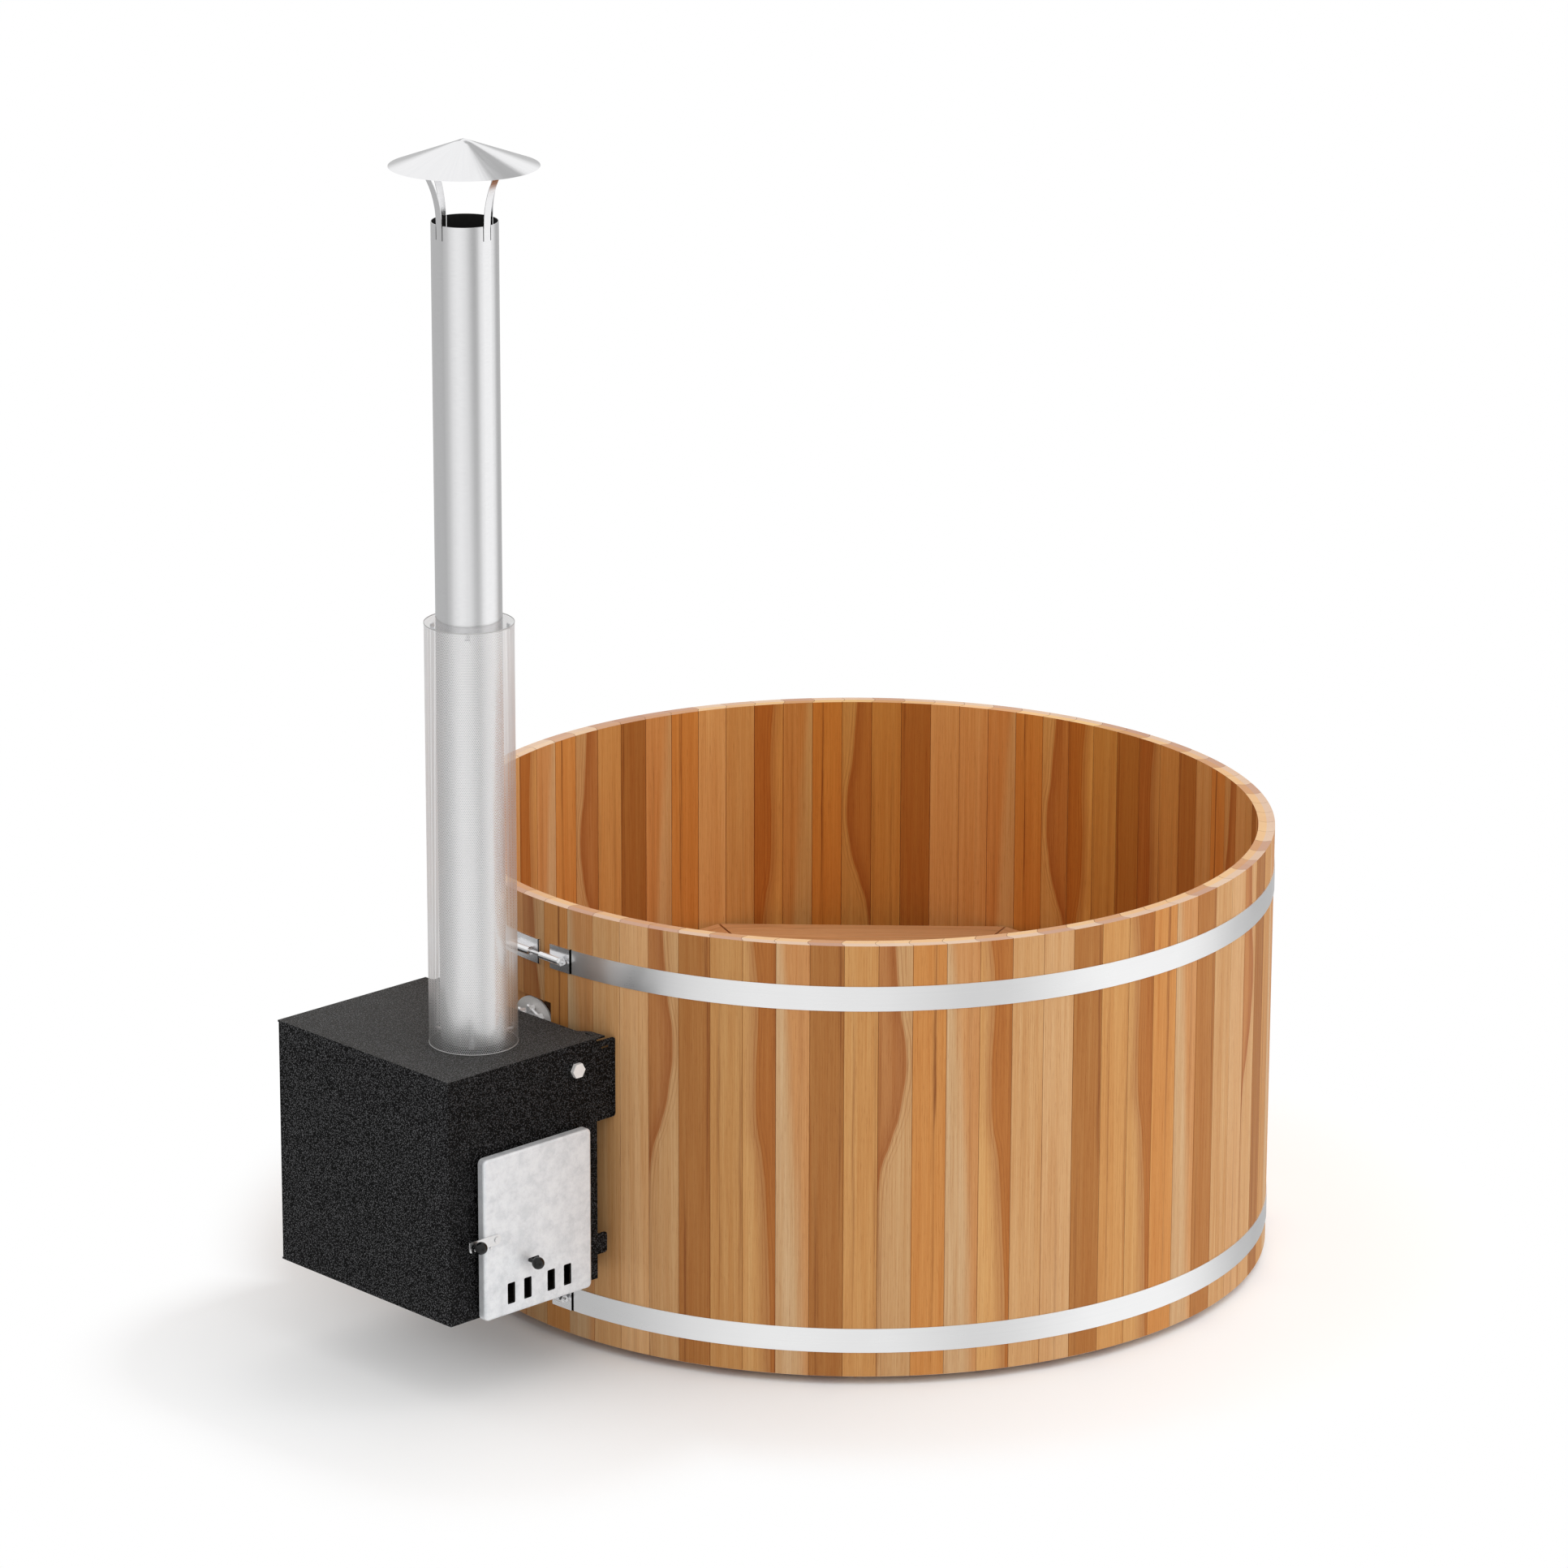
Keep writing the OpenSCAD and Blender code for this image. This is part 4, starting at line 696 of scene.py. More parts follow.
joists = Finish("joist_wood", Specular_IOR_Level=0.25)
x, y, z = joists.split(joists.place)
number = joists.math("ROUND", joists.math("DIVIDE", y, JOIST_PITCH))
dress(plank_finish(joists, DARK_TIMBER, z, y, x, joists.total(number, 81.0), 0.6), "floor_joists")


# %% [markdown]
# ## Brushed and rolled steel
# The hoops, chimney and small fittings are stainless steel, ground in one direction. The fine
# scratches spread a reflection sideways. They are noise stretched along the grinding, and they
# only change the roughness and a very shallow bump. Light and dark come from what the metal
# reflects and are not painted on it.

# %% Brushed group
def brushed_body(n, given):
    lines = n.noise(n.vector("MULTIPLY", given["Place"], given["Stretch"]), 1.0, 3.0, 0.6)
    blotch = n.noise(given["Place"], 9.0, 3.0, 0.5, 0.5)
    return {
        "Lines": n.span(lines, 0.3, 0.7),
        "Blotch": n.span(blotch, 0.35, 0.65),
        "Height": lines,
    }


BRUSHED = make_group(
    "brushed_steel",
    {"Place": "Vector", "Stretch": "Vector"},
    {"Lines": "Float", "Blotch": "Float", "Height": "Float"},
    brushed_body,
)
print("group", BRUSHED.name, "has", len(BRUSHED.nodes), "nodes")


# %% [markdown]
# ## Steel that follows a round shape
# A hoop is ground round the tub, and a pipe round its own axis. Straight coordinates would run
# the scratches through the wall, so these count azimuth, distance and height. The recipe mixes
# a light and a dark tone of the metal by the scratches.

# %% Steel recipe
def round_place(n, centre=(0.0, 0.0)):
    """Azimuth round an upright axis in radians, distance from the axis, and height."""
    x, y, z = n.split(n.place)
    x, y = n.math("SUBTRACT", x, centre[0]), n.math("SUBTRACT", y, centre[1])
    radius = n.vector("LENGTH", n.join(x, y, 0.0), out=1)
    return n.math("ARCTAN2", y, x), radius, z


def steel_finish(n, place, stretch, light, dark, rough=0.3, spread=0.12, depth=0.0001):
    """Metal with scratches along the direction that stretch leaves long."""
    marks = n.group(BRUSHED, Place=place, Stretch=stretch)
    colour = n.mix(n.times(marks["Lines"], 0.5), light, dark)
    colour = n.mix(n.times(marks["Blotch"], 0.15), colour, dark)
    value = n.total(n.times(marks["Lines"], spread), n.times(marks["Blotch"], 0.05), rough)
    return n.surface(colour, value, marks["Height"], depth=depth, strength=0.4)


print("steel recipe reads the group", BRUSHED.name)


# %% [markdown]
# ## Hoops and lugs
# Each hoop is a flat strap that rods pull tight through the lugs on its ends. A lug lies so close
# to its strap that the shaded gap between them is too narrow for a mesh, so its shadow is painted
# in the finish: two thin lines of painted shadow at known azimuths, nearly black.

# %% Hoop finishes
LUG_GAPS = ((177.86, 0.13), (184.02, 0.15))   # azimuth and half width in degrees
# painted shadow for the narrow gap where a lug meets its strap
GAP_SHADOW_TONE = tone(16, 15, 14)


def hoop_finish(name, light, dark, rough):
    """Strap and lug steel. Narrow gaps, where a lug meets its strap, get nearly black painted
    shadow.
    """
    n = Finish(name, Metallic=1.0)
    azimuth, radius, up = round_place(n)
    turn = n.math("FRACT", n.total(n.times(azimuth, 0.5 / math.pi), 1.0))
    gap = 0.0
    for middle, half in LUG_GAPS:
        near = n.math("COMPARE", turn, middle / 360, half / 360)
        gap = n.math("MAXIMUM", gap, near)
    marks = n.group(BRUSHED, Place=n.join(azimuth, radius, up), Stretch=(3.0, 30.0, 1800.0))
    colour = n.mix(n.times(marks["Lines"], 0.5), light, dark)
    value = n.total(n.times(marks["Lines"], 0.05), n.times(marks["Blotch"], 0.05), rough)
    return n.surface(n.mix(gap, colour, GAP_SHADOW_TONE), n.total(value, n.times(gap, 0.5)),
                     marks["Height"], depth=0.00001, strength=0.4)


dress(hoop_finish("hoop_steel", tone(247, 247, 247), tone(241, 241, 242), 0.27),
      "hoop_upper", "hoop_lower")
dress(hoop_finish("lug_steel", tone(244, 244, 245), tone(228, 228, 230), 0.2), "hoop_lugs")

# %% [markdown]
# ## Chimney pipe and cap
# The pipe is bright outside and black with soot inside. It is one piece, so the distance from its
# axis decides where the soot is, and soot isn't metallic. The cap's faint streaks run down its
# slope.

# %% Chimney finishes
FLUE = (-1.1976, -0.0220)        # the pipe's axis
FLUE_IN = 0.0712                 # a hair more than the radius of its bore
Z_PIPE_END = 2.595               # its legs begin here, and they are clean

pipe = Finish("chimney_steel")
azimuth, radius, up = round_place(pipe, FLUE)
marks = pipe.group(BRUSHED, Place=pipe.join(azimuth, radius, up), Stretch=(4.0, 40.0, 900.0))
soot = pipe.times(pipe.math("LESS_THAN", radius, FLUE_IN), pipe.math("LESS_THAN", up, Z_PIPE_END))
metal = pipe.mix(pipe.times(marks["Lines"], 0.4), tone(242, 242, 243), tone(230, 230, 232))
soot_noise = pipe.noise(pipe.place, 60.0, 4.0, 0.6)
black = pipe.mix(soot_noise, tone(8, 8, 8), tone(28, 26, 25))
dress(pipe.surface(pipe.mix(soot, metal, black),
                   pipe.total(pipe.times(marks["Lines"], 0.06), pipe.times(soot, 0.6), 0.17),
                   marks["Height"], depth=0.0001, strength=0.3,
                   metal=pipe.math("SUBTRACT", 1.0, soot)),
      "chimney_pipe")

cap = Finish("cap_steel", Metallic=1.0)
azimuth, radius, up = round_place(cap, FLUE)
dress(steel_finish(cap, cap.join(azimuth, radius, up), (60.0, 3.0, 3.0),
                   tone(244, 244, 245), tone(238, 238, 240), 0.1, 0.04, depth=0.00001),
      "chimney_cap")

# %% [markdown]
# ## Small steel parts
# Rods, nuts, fittings, clamps and the latch share the steel recipe, each with its own tones and
# roughness. Fully metallic fittings would mirror the red wood beside them. The real ones are
# matt and pale, so theirs are less metallic and show more of their own grey.

# %% Small steel parts
zinc = Finish("zinc_steel", Metallic=1.0)
dress(steel_finish(zinc, zinc.place, (60.0, 60.0, 900.0), tone(238, 238, 239),
                   tone(214, 215, 217), 0.2), "tension_rods", "tension_nuts", "guard_spacers",
      "hinge_pins", "damper_guides")

fitting = Finish("fitting_steel", Metallic=0.2)
dress(steel_finish(fitting, fitting.place, (400.0, 400.0, 400.0), tone(240, 237, 234),
                   tone(220, 217, 214), 0.4), "upper_wall_fitting", "lower_wall_fitting",
      "fitting_ring_nuts", "stove_spigots", "drain_fitting", "drain_ball", "bleed_plug")

bright = Finish("bright_steel", Metallic=0.45)
dress(steel_finish(bright, bright.place, (300.0, 40.0, 300.0), tone(255, 255, 255),
                   tone(244, 244, 246), 0.16, 0.06), "hose_clamps")

latch = Finish("latch_steel", Metallic=1.0)
dress(steel_finish(latch, latch.place, (60.0, 60.0, 1500.0), tone(240, 240, 240),
                   tone(216, 216, 217), 0.3), "latch_strip", "latch_rivet")


# %% [markdown]
# ## The stove's paint
# The stove is sheet steel under a black hammered paint, which dries in small raised spots. They
# catch light as grey specks, and the hollows between them stay nearly black; the grey of the
# specks is painted into the colour, partly the paint's own grey and partly painted highlight. A
# noise cut off at one height gives clumps of all sizes. So the spots are the middles of a cell
# pattern, which have one size, and a noise sways the pattern until its cells look like drops.

# %% Hammered paint group
SWAY = (0.004, 0.004, 0.004)


def hammered_body(n, given):
    sway = n.add("TexNoise", {"Vector": given["Place"], "Scale": given["Size"], "Detail": 1.0}, 1)
    bent = n.vector("MULTIPLY_ADD", sway, SWAY, given["Place"])
    from_middle = n.add("TexVoronoi", {"Vector": bent, "Scale": given["Size"]})
    return {"Spots": n.span(from_middle, 0.24, 0.48, 1.0, 0.0),
            "Height": n.span(from_middle, 0.1, 0.7, 1.0, 0.0)}


HAMMERED = make_group("hammered_texture", {"Place": "Vector", "Size": "Float"},
                      {"Spots": "Float", "Height": "Float"}, hammered_body)
print("group", HAMMERED.name, "has", len(HAMMERED.nodes), "nodes")

# %% [markdown]
# ## Paint on the stove
# The top plate is a little paler, partly with dust and partly with painted light from above, and
# the side with the door is painted blacker than the rest as painted shade. The CAD box of a plate
# says where its face is, so the marks stay right if the plate moves.

# %% Stove paint
AT_FACE = 0.0005                 # a point this near to a plate's face is on it

paint = Finish("stove_paint", Specular_IOR_Level=0.09)
drops = paint.group(HAMMERED, Place=paint.place, Size=300.0)
dust = paint.noise(paint.place, 5.0, 4.0, 0.6)
# the spots' grey is partly the paint's own and partly painted highlight
black = paint.mix(drops["Spots"], tone(1, 1, 1), tone(102, 102, 104))
x, y, z = paint.split(paint.place)
# dust and painted light: the top plate is a little paler
on_top = paint.math("GREATER_THAN", z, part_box("stove_top_plate")[1].z - AT_FACE)
black = paint.mix(paint.times(on_top, 0.06), black, tone(200, 196, 190))
# painted shade: the side with the door is blacker
at_door = paint.math("LESS_THAN", y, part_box("stove_door_side")[0].y + AT_FACE)
black = paint.mix(paint.times(at_door, 0.4), black, tone(2, 2, 2))
gloss = paint.total(paint.times(drops["Spots"], -0.15), paint.times(dust, 0.1), 0.5)
dress(paint.surface(black, gloss, drops["Height"], depth=0.002, strength=1.0),
      "stove_door_side", "stove_rear_side", "stove_top_plate", "stove_base_plate",
      "stove_outer_side", "stove_tub_side", "hinge_brackets", "door_hinge_leaves",
      "latch_keeper")

# %% [markdown]
# ## Iron in the fire
# The fire chamber, the grate and the collar are bare iron, rough from heat and brown with rust
# in patches. The paint's group does again for the rough skin, with spots four times as wide.

# %% Fire iron
iron = Finish("fire_iron", Metallic=0.2)
cast = iron.group(HAMMERED, Place=iron.place, Size=70.0)
rust = iron.noise(iron.place, 18.0, 4.0, 0.65)
body = iron.mix(iron.span(rust, 0.45, 0.7), tone(46, 43, 41), tone(84, 62, 48))
dress(iron.surface(body, iron.total(iron.times(cast["Height"], 0.2), 0.6), cast["Height"],
                   depth=0.001, strength=0.6),
      "firebox", "firebox_mouth", "fire_grate", "grate_ledges", "flue_collar", "damper_plate")

# %% [markdown]
# ## The cast door
# The door is a pale aluminium casting with a cloudy skin: soft grey clouds, fine scratches and
# a few darker smears. Three sizes of noise make it. Everything behind the front, such as the
# walls of the air slots and the inside, is black with smoke.

# %% Door casting
DOOR_EDGE = 0.006                # the smoked inside begins this far in from the outline
DOOR_SKIN = 0.0008               # and this far behind the front

casting = Finish("door_casting", Specular_IOR_Level=0.5)
x, y, z = casting.split(casting.place)
clouds = casting.noise(casting.place, 34.0, 7.0, 0.7, 0.1)
mottle = casting.noise(casting.place, 60.0, 6.0, 0.7)
slant = casting.join(casting.times(casting.total(x, z), 700.0), y,
                     casting.times(casting.math("SUBTRACT", x, z), 30.0))
scratch = casting.noise(slant, 1.0, 2.0)
grit = casting.noise(casting.place, 900.0, 2.0, 0.6)
stops = [(0, tone(219, 222, 225)), (0.4, tone(229, 231, 234)), (1, tone(238, 240, 242))]
skin = casting.ramp(casting.span(clouds, 0.32, 0.68), stops)
skin = casting.mix(casting.times(casting.span(mottle, 0.5, 0.7), 0.22), skin, tone(196, 197, 199))
skin = casting.mix(casting.times(casting.span(scratch, 0.66, 0.76), 0.3), skin, tone(180, 180, 182))
door_low, door_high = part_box("door_panel")
behind = casting.math("GREATER_THAN", y, door_low.y + DOOR_SKIN)
middle = casting.times(casting.math("GREATER_THAN", x, door_low.x + DOOR_EDGE),
                       casting.math("LESS_THAN", x, door_high.x - DOOR_EDGE),
                       casting.math("GREATER_THAN", z, door_low.z + DOOR_EDGE),
                       casting.math("LESS_THAN", z, door_high.z - DOOR_EDGE))
smoked = casting.times(behind, middle)
skin = casting.mix(smoked, skin, tone(14, 13, 12))
matt = casting.total(casting.times(mottle, 0.25), casting.times(smoked, 0.3), 0.4)
bare = casting.times(casting.math("SUBTRACT", 1.0, smoked), 0.55)
dress(casting.surface(skin, matt, grit, depth=0.0004, strength=0.35, metal=bare), "door_panel")

# %% [markdown]
# ## Rubber and plastic
# The water hoses are black rubber with faint ribs, and the balls on the latch and the damper are
# glossy black plastic. Pure black would look like a hole, so both are dark greys, and a noise
# that changes the roughness gives the highlight a natural edge.

# %% Rubber and plastic
rubber = Finish("black_rubber", Specular_IOR_Level=0.4)
ribs = rubber.noise(rubber.vector("MULTIPLY", rubber.place, (600.0, 60.0, 60.0)), 1.0, 2.0)
dress(rubber.surface(rubber.mix(ribs, tone(24, 24, 25), tone(44, 44, 45)),
                     rubber.total(rubber.times(ribs, 0.2), 0.45), ribs, depth=0.0003, strength=0.4),
      "water_hoses", "fitting_gaskets")

knob = Finish("black_plastic", Specular_IOR_Level=0.32)
haze = knob.noise(knob.place, 400.0, 3.0, 0.6)
knob_finish = knob.surface(knob.mix(haze, tone(12, 12, 12), tone(26, 26, 26)),
                           knob.total(knob.times(haze, 0.12), 0.12), haze,
                           depth=0.0001, strength=0.2)
dress(knob_finish, "latch_knob", "damper_knob")

# %% [markdown]
# ## Rope, brass and the red grip
# The door's seal is a pale braided rope: two sets of waves cross, and the higher one is seen. Its
# hollows are darker with painted shade.
# The drain's valve is brass, a steel recipe in other tones. Its lever has a red plastic sleeve
# with a skin like the peel of a fruit.

# %% Rope, brass and the red grip
rope = Finish("seal_rope", Specular_IOR_Level=0.2)
x, y, z = rope.split(rope.place)
twist = rope.math("SINE", rope.times(rope.total(x, y, z), 1400.0))
braid = rope.math("SINE", rope.times(rope.math("SUBTRACT", rope.total(x, y), z), 1400.0))
weave = rope.math("MAXIMUM", twist, braid)
# painted shade: the low parts of the weave are darker
dress(rope.surface(rope.mix(rope.span(weave, -0.2, 1.0), tone(168, 160, 146), tone(214, 208, 196)),
                   rope.total(rope.times(weave, 0.03), 0.85), weave, depth=0.0008, strength=0.6),
      "door_seal")

brass = Finish("valve_brass", Metallic=1.0)
dress(steel_finish(brass, brass.place, (500.0, 500.0, 500.0), tone(206, 172, 104),
                   tone(170, 136, 76), 0.28), "drain_valve")

grip = Finish("lever_grip", Specular_IOR_Level=0.5)
peel = grip.noise(grip.place, 500.0, 3.0, 0.5)
dress(grip.surface(grip.mix(peel, tone(150, 24, 20), tone(182, 34, 28)),
                   grip.total(grip.times(peel, 0.15), 0.32), peel, depth=0.0003, strength=0.4),
      "drain_lever")


# %% [markdown]
# ## Surfaces from numbers
# A grid of points is enough for every piece that follows. Its two parameters run along the rows
# and the columns, the faces join neighbours, and a piece that closes on itself joins its last
# column to its first. Whole arrays are worked out at once, with no loop over the points.

# %% A mesh from arrays
def make_piece(name, points, faces, finish, body, slot, replaced=()):
    """A mesh piece from points (n, 3) in metres and faces (m, 3 or 4) as point numbers."""
    mesh = bpy.data.meshes.new(name)
    mesh.from_pydata(points.reshape(-1, 3).tolist(), [], faces.tolist())
    mesh.update()
    mesh.polygons.foreach_set("use_smooth", np.ones(len(mesh.polygons), bool))
    mesh.materials.append(finish)
    piece = bpy.data.objects.new(name, mesh)
    scene.collection.objects.link(piece)
    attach(piece, body)
    if replaced:
        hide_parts(*replaced)
    print(name, len(mesh.vertices), "points", len(mesh.polygons), "faces")
    return piece


def grid_faces(rows, columns, start=0):
    """Quads between neighbouring points of a grid whose last column joins its first."""
    row, column = np.mgrid[0 : rows - 1, 0:columns]
    after = (column + 1) % columns
    corners = (row * columns + column, row * columns + after,
               (row + 1) * columns + after, (row + 1) * columns + column)
    return np.stack(corners, -1).reshape(-1, 4) + start


def turned(profile, around, centre, axis="z"):
    """A profile of (radius, height) carried round an axis: x = r cos a, y = r sin a, z = h."""
    a = np.linspace(0, 2 * np.pi, around, endpoint=False)
    r, h = np.asarray(profile, float).T
    ring = np.stack([r[:, None] * np.cos(a), r[:, None] * np.sin(a), h[:, None] + 0 * a], -1)
    if axis == "-y":   # heights run towards -Y: x stays, z takes the sine, y = -h
        ring = np.stack([ring[..., 0], -ring[..., 2], ring[..., 1]], -1)
    return ring + np.asarray(centre, float)


print("a closed grid of 3 rows and 4 columns has", len(grid_faces(3, 4)), "faces")


# %% [markdown]
# ## The perforated guard
# A sheet with small round holes in a staggered pattern wraps the lower chimney and keeps hands
# off the hot pipe. It could be faked with a see-through pattern, but real holes show the pipe
# behind them from every side. Each hole sits in a cell of a honeycomb: six outer corners shared
# with the neighbours and six inner ones round the hole, joined by six faces.

# %% Honeycomb of holes
GUARD_R, GUARD_LOW, GUARD_HIGH = 0.0976, 0.7635, 1.7165
GUARD_AROUND = 146               # holes in one row round the pipe
HOLE_SHARE = 0.70                # a hole's size, as a share of its cell
CELL_PITCH = 2 * np.pi / GUARD_AROUND
ROW_STEP = CELL_PITCH * GUARD_R * math.sqrt(3) / 2


def guard_part(rows):
    """Honeycomb cells on a cylinder. A cell's middle is (column + half on odd rows, row) times
    the pitch; its corners stand at 30, 90, 150... degrees round the middle."""
    row, column = np.meshgrid(rows, np.arange(GUARD_AROUND), indexing="ij")
    middle_a = (column + 0.5 * (row % 2)) * CELL_PITCH
    middle_z = GUARD_LOW + row * ROW_STEP
    corner = np.radians(30 + 60 * np.arange(6))
    reach = CELL_PITCH / math.sqrt(3)
    rings = []
    for share in (1.0, HOLE_SHARE):
        a = middle_a[..., None] + share * reach * np.cos(corner)
        z = middle_z[..., None] + share * reach * GUARD_R * np.sin(corner)
        z = np.clip(z, GUARD_LOW, GUARD_HIGH)
        rings.append(np.stack([GUARD_R * np.cos(a), GUARD_R * np.sin(a), z], -1))
    points = np.stack(rings, -2).reshape(-1, 3)
    cells = np.arange(len(points) // 12)[:, None] * 12
    k, after = np.arange(6) * 2, (np.arange(6) + 1) % 6 * 2
    faces = np.stack([cells + k, cells + after, cells + after + 1, cells + k + 1], -1)
    faces = faces.reshape(-1, 4)
    welded, number = np.unique(np.round(points, 6), axis=0, return_inverse=True)
    faces = number.reshape(-1)[faces]
    flat = (faces == np.roll(faces, 1, 1)).any(1)
    return welded + (*FLUE, 0), faces[~flat]


print("rows of holes are", round(1000 * ROW_STEP, 2), "mm apart")


# %% [markdown]
# ## Rolling the guard
# The rows of holes are shared out over three meshes, which keeps each of them light enough to
# handle. Together they take the place of the plain sleeve.

# %% Guard
GUARD_PARTS = 3

mesh_steel = Finish("guard_steel", Metallic=0.97)
azimuth, radius, up = round_place(mesh_steel, FLUE)
guard_finish = steel_finish(mesh_steel, mesh_steel.join(azimuth, radius, up), (20.0, 40.0, 300.0),
                            tone(255, 254, 254), tone(246, 245, 245), 0.3)
rows = np.arange(int((GUARD_HIGH - GUARD_LOW) / ROW_STEP) + 1)
for part, some_rows in enumerate(np.array_split(rows, GUARD_PARTS)):
    make_piece(f"guard_mesh_{part + 1}", *guard_part(some_rows), guard_finish, "tub",
               "chimney_steel", ["chimney_guard"] if part == 0 else ())

# %% [markdown]
# ## The guard's rims
# Sheet metal is folded over at its ends so that it doesn't cut. A folded edge could come from a
# modifier on the mesh, but then every hole would get one. A small round-cornered profile carried
# round the pipe closes the sheet at its foot and its head.

# %% Guard rims
RIM_AROUND, RIM_FEET = 96, (0.7630, 1.7152)
RIM_PROFILE = [(0.0972, 0.0), (0.0980, 0.0), (0.0983, 0.0003), (0.0983, 0.0015), (0.0980, 0.0018),
               (0.0972, 0.0018), (0.0969, 0.0015), (0.0969, 0.0003), (0.0972, 0.0)]
rim_rows = [turned(RIM_PROFILE, RIM_AROUND, (*FLUE, foot)) for foot in RIM_FEET]
rim_points = np.concatenate([points.reshape(-1, 3) for points in rim_rows])
rim_steel = Finish("rim_steel", Metallic=0.9)
rim_finish = steel_finish(rim_steel, rim_steel.place, (300.0, 300.0, 300.0),
                          tone(205, 204, 203), tone(180, 179, 178), 0.45)
one_rim = len(RIM_PROFILE) * RIM_AROUND
rim_faces = np.concatenate(
    [grid_faces(len(RIM_PROFILE), RIM_AROUND, start) for start in (0, one_rim)])
make_piece("guard_rims", rim_points, rim_faces, rim_finish, "tub", "chimney_steel")


# %% [markdown]
# ## Ball knobs
# The latch and the damper end in black plastic balls on short necks. A ball from the CAD model
# is made of flat facets, and its gloss would break up on them, so both are turned again from a
# fine profile, each on a short collar and a neck.

# %% Knobs
NECK_R = 0.0045
NECK_SHORT = 0.0002              # the neck ends this far before the CAD piece does


def knob_profile(radius, neck, length):
    """Ball, then a collar and a neck: r = R sin t, h = R cos t, cut where r meets the neck."""
    t = np.linspace(0.0, np.pi - math.asin(neck / radius), 40)
    ball = np.stack([radius * np.sin(t), radius * np.cos(t)], -1)
    collar = [(neck * 1.25, ball[-1, 1] - 0.0004), (neck * 1.25, ball[-1, 1] - 0.002),
              (neck, ball[-1, 1] - 0.0024), (neck, -length), (0.0, -length)]
    return np.concatenate([ball, collar])


for name, body in (("latch_knob", "latch"), ("damper_knob", "damper")):
    low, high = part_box(name)
    radius = (high.x - low.x) / 2
    profile = knob_profile(radius, NECK_R, high.y - low.y - radius - NECK_SHORT)
    centre = ((low.x + high.x) / 2, low.y + radius, (low.z + high.z) / 2)
    points = turned(profile, 48, centre, "-y")
    make_piece(name + "_turned", points, grid_faces(len(profile), 48), knob_finish, body,
               "black_plastic", [name])

# %% [markdown]
# ## Floor
# The object stands on a pale floor that keeps its shadow and is white where nothing stands over
# it. A floor lit to white would need so much light that the wood bleaches. So the camera sees a
# paler floor than the object does: near the object a white paper that takes shadows, and plain
# white beyond. The shadow is lifted a little in the lee of the stove by painted light, white
# mixed into the paper there.

# %% Floor
FLOOR_STEPS = (0.0, 3.0, 10.0, 30.0, 90.0)
FLOOR_TRUE, FLOOR_SEEN = 0.85, 0.97
STOVE_MIDDLE, STOVE_HALF = (-1.21, -0.02), (0.22, 0.285)
FADE = (0.3, 0.6)                # between these distances the paper turns into plain white
# Painted light: in this patch beside the stove the paper's shadow is lifted.
LEE_X, LEE_Y = (-0.9, -1.3), (-0.5, 0.1)
BEHIND_STOVE = 0.25              # how much of the shadow is lifted there
ring = np.linspace(0, 2 * np.pi, 96, endpoint=False)
steps = np.array(FLOOR_STEPS)[:, None]
floor_points = np.stack([steps * np.cos(ring), steps * np.sin(ring), steps * 0 * ring], -1)
floor_faces = grid_faces(len(FLOOR_STEPS), len(ring))
floor_mesh = bpy.data.meshes.new("floor")
floor_mesh.from_pydata(floor_points.reshape(-1, 3).tolist(), [], floor_faces.tolist())
floor = bpy.data.objects.new("floor", floor_mesh)
scene.collection.objects.link(floor)
floor.visible_glossy = False
print("floor", 2 * FLOOR_STEPS[-1], "m across")

# %% [markdown]
# ## The floor's paper
# Two distances say how near a point is to the object: one to the stove's box and one to the
# wall. The smaller of them fades the paper into white. Light Path tells the camera's rays from
# the light that bounces, so the white never lights the object.

# %% Floor paper
n = Finish("floor_paper")
n.tree.nodes.remove(n.shader)
path = n.add("LightPath").node
seen = n.add("BsdfDiffuse", {"Color": (FLOOR_SEEN,) * 3})
true = n.add("BsdfDiffuse", {"Color": (FLOOR_TRUE,) * 3})
x, y, z = n.split(n.place)
stove_x = n.math("SUBTRACT", n.math("ABSOLUTE", n.total(x, -STOVE_MIDDLE[0])), STOVE_HALF[0])
stove_y = n.math("SUBTRACT", n.math("ABSOLUTE", n.total(y, -STOVE_MIDDLE[1])), STOVE_HALF[1])
past = n.join(n.math("MAXIMUM", stove_x, 0.0), n.math("MAXIMUM", stove_y, 0.0), 0.0)
from_stove = n.vector("LENGTH", past, out=1)
from_wall = n.math("SUBTRACT", n.vector("LENGTH", n.join(x, y, 0.0), out=1), TUB_R)
clear = n.span(n.math("MINIMUM", from_stove, from_wall), *FADE)
# painted light that lifts the shadow in the lee of the stove
painted_light_lee = n.times(n.span(x, *LEE_X), n.span(y, *LEE_Y), BEHIND_STOVE)
white = n.add("Emission", {"Color": (1.0, 1.0, 1.0)})
seen = n.add("MixShader", {0: n.math("MAXIMUM", clear, painted_light_lee), 1: seen, 2: white})
shown = n.add("MixShader", {0: path.outputs["Is Camera Ray"], 1: true, 2: seen})
n.feed(n.tree.nodes["Material Output"].inputs[0], shown)
floor_mesh.materials.append(n.material)
print("paper fades to white from", FADE[0], "to", FADE[1], "m")

# %% [markdown]
# ## Sky
# An even sky lights the object, and the camera sees it as white. Steel shows only what it
# reflects, and an even sky would make it look like plastic. So reflections see a sky of their
# own: pale, with grey bands at set azimuths and one grey screen, as the screens and gaps of a
# photographer's studio would give. It holds from every side, because it stands still.

# %% Sky
SKY, UPPER_SKY = 0.75, 0.97
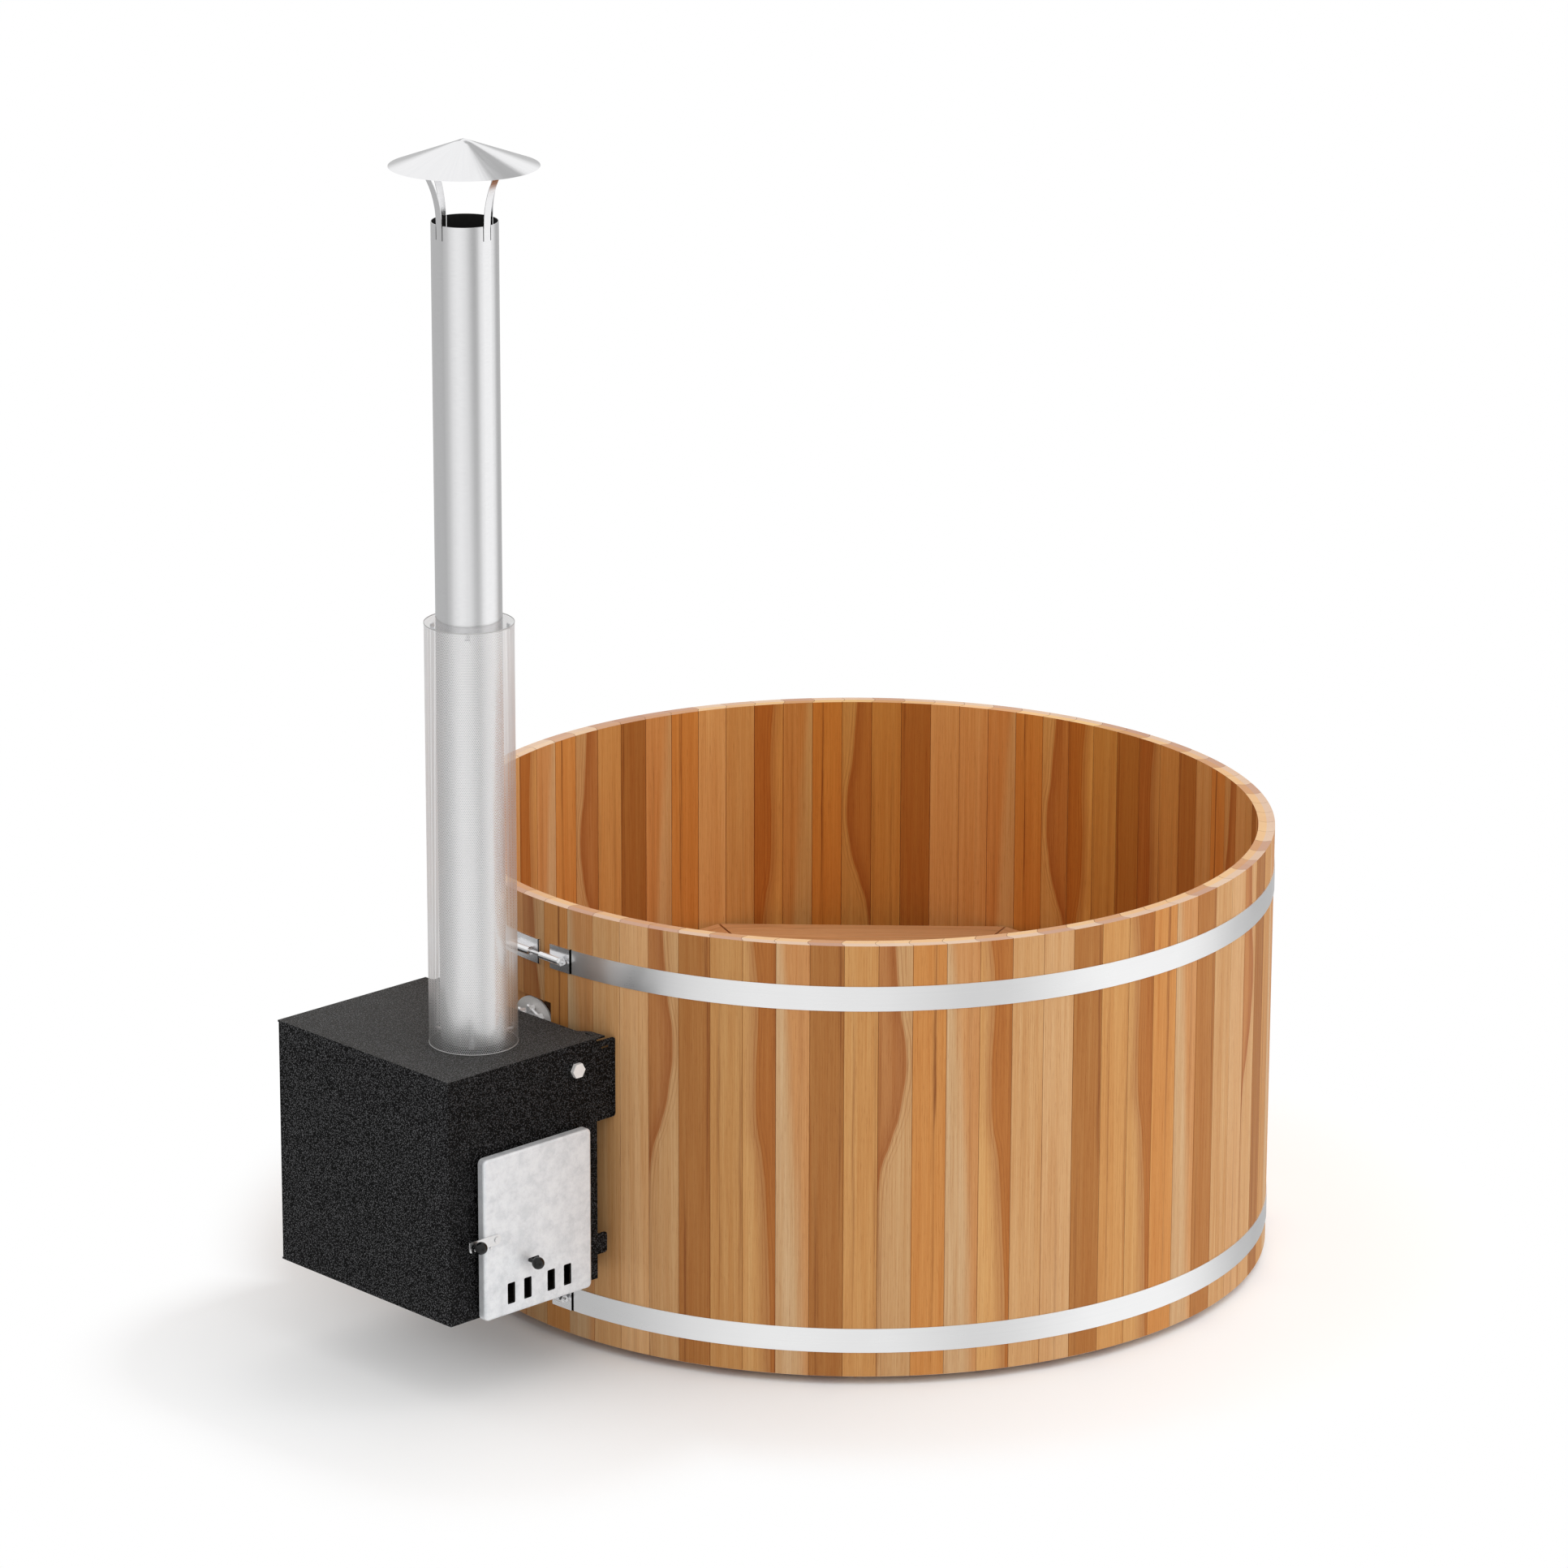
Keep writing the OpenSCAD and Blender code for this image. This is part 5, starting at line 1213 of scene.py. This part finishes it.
# Azimuth in degrees and how bright a reflection is there.
SKY_BANDS = [(0, 0.45), (22, 0.5), (45, 0.55), (82, 0.5), (130, 0.5), (150, 0.48), (165, 0.6),
             (180, 0.8), (200, 0.92), (215, 0.9), (228, 0.8), (240, 0.62), (250, 0.45),
             (258, 0.38), (265, 0.40), (272, 0.58), (280, 0.85), (290, 1.0), (325, 1.0),
             (338, 0.9), (348, 0.6), (360, 0.45)]
# Close to the ground the dark gap near 258 degrees is filled by the bright floor.
GROUND_BANDS = [(0, 0.0), (218, 0.0), (227, 0.95), (238, 0.95), (250, 0.86), (262, 0.74),
                (274, 0.86), (285, 0.9), (296, 0.0)]
GROUND_EDGE, UPPER_EDGE = (-0.27, -0.30), (0.08, 0.34)   # sines of the height over the horizon
SCREEN_AZIMUTH, SCREEN_HEIGHT = math.radians(35.5), math.radians(41)
SCREEN_EDGE = (0.9877, 0.9926)   # cosines of 9 and 7 degrees from its middle
SCREEN_TONE, SCREEN_SHARE = 0.1, 0.6
SCREEN = (math.cos(SCREEN_HEIGHT) * math.cos(SCREEN_AZIMUTH),
          math.cos(SCREEN_HEIGHT) * math.sin(SCREEN_AZIMUTH), math.sin(SCREEN_HEIGHT))

world = bpy.data.worlds.new("studio")
world.use_nodes = True
scene.world = world
w = Recipe(world.node_tree)
background = world.node_tree.nodes["Background"]
path = w.add("LightPath").node
way = w.vector("NORMALIZE", w.add("TexCoord", out="Generated"))
x, y, z = w.split(way)
part = w.math("FRACT", w.total(w.times(w.math("ARCTAN2", y, x), 0.5 / math.pi), 1.0))
bands = w.ramp(part, [(a / 360, b) for a, b in SKY_BANDS])
ground = w.math("MAXIMUM", bands, w.ramp(part, [(a / 360, b) for a, b in GROUND_BANDS]))
low = w.mix(w.span(z, *GROUND_EDGE), bands, ground)
high = w.mix(w.span(z, *UPPER_EDGE), low, (UPPER_SKY,) * 3)
screen = w.span(w.vector("DOT_PRODUCT", way, SCREEN, out=1), *SCREEN_EDGE)
mirrored = w.mix(w.times(screen, SCREEN_SHARE), high, (SCREEN_TONE,) * 3)
direct = w.math("MAXIMUM", path.outputs["Is Camera Ray"], path.outputs["Is Transmission Ray"])
shown = w.mix(direct, (SKY, SKY, SKY), (1.0, 1.0, 1.0))
w.feed(background.inputs["Color"], w.mix(path.outputs["Is Glossy Ray"], shown, mirrored))
print("sky of", SKY, "with", len(SKY_BANDS), "band stops")

# %% [markdown]
# ## Lamps
# Two suns to the camera's right, one before the object and one beyond it, model the round wall.
# A small sun would throw hard shadows, so these are 80 degrees wide, like large cloths in front
# of a window. Reflections don't see them, because the sky has their bright bands already.

# %% Lamps
# Name, azimuth, height, strength and width in degrees.
LAMPS = (("key", 355, 40, 0.9, 80), ("fill", 275, 40, 0.9, 80))
for name, azimuth, height, power, soft in LAMPS:
    sun = bpy.data.lights.new(name, "SUN")
    sun.energy, sun.angle = power, math.radians(soft)
    lamp = bpy.data.objects.new(name, sun)
    lamp.rotation_euler = (math.radians(90 - height), 0, math.radians(azimuth + 90))
    lamp.visible_glossy = False
    scene.collection.objects.link(lamp)
print("lamps:", [lamp[0] for lamp in LAMPS])

# %% [markdown]
# ## Sizes and the end
# The box of the dressed object should equal the box of the CAD pieces, because no finish makes
# the object larger.
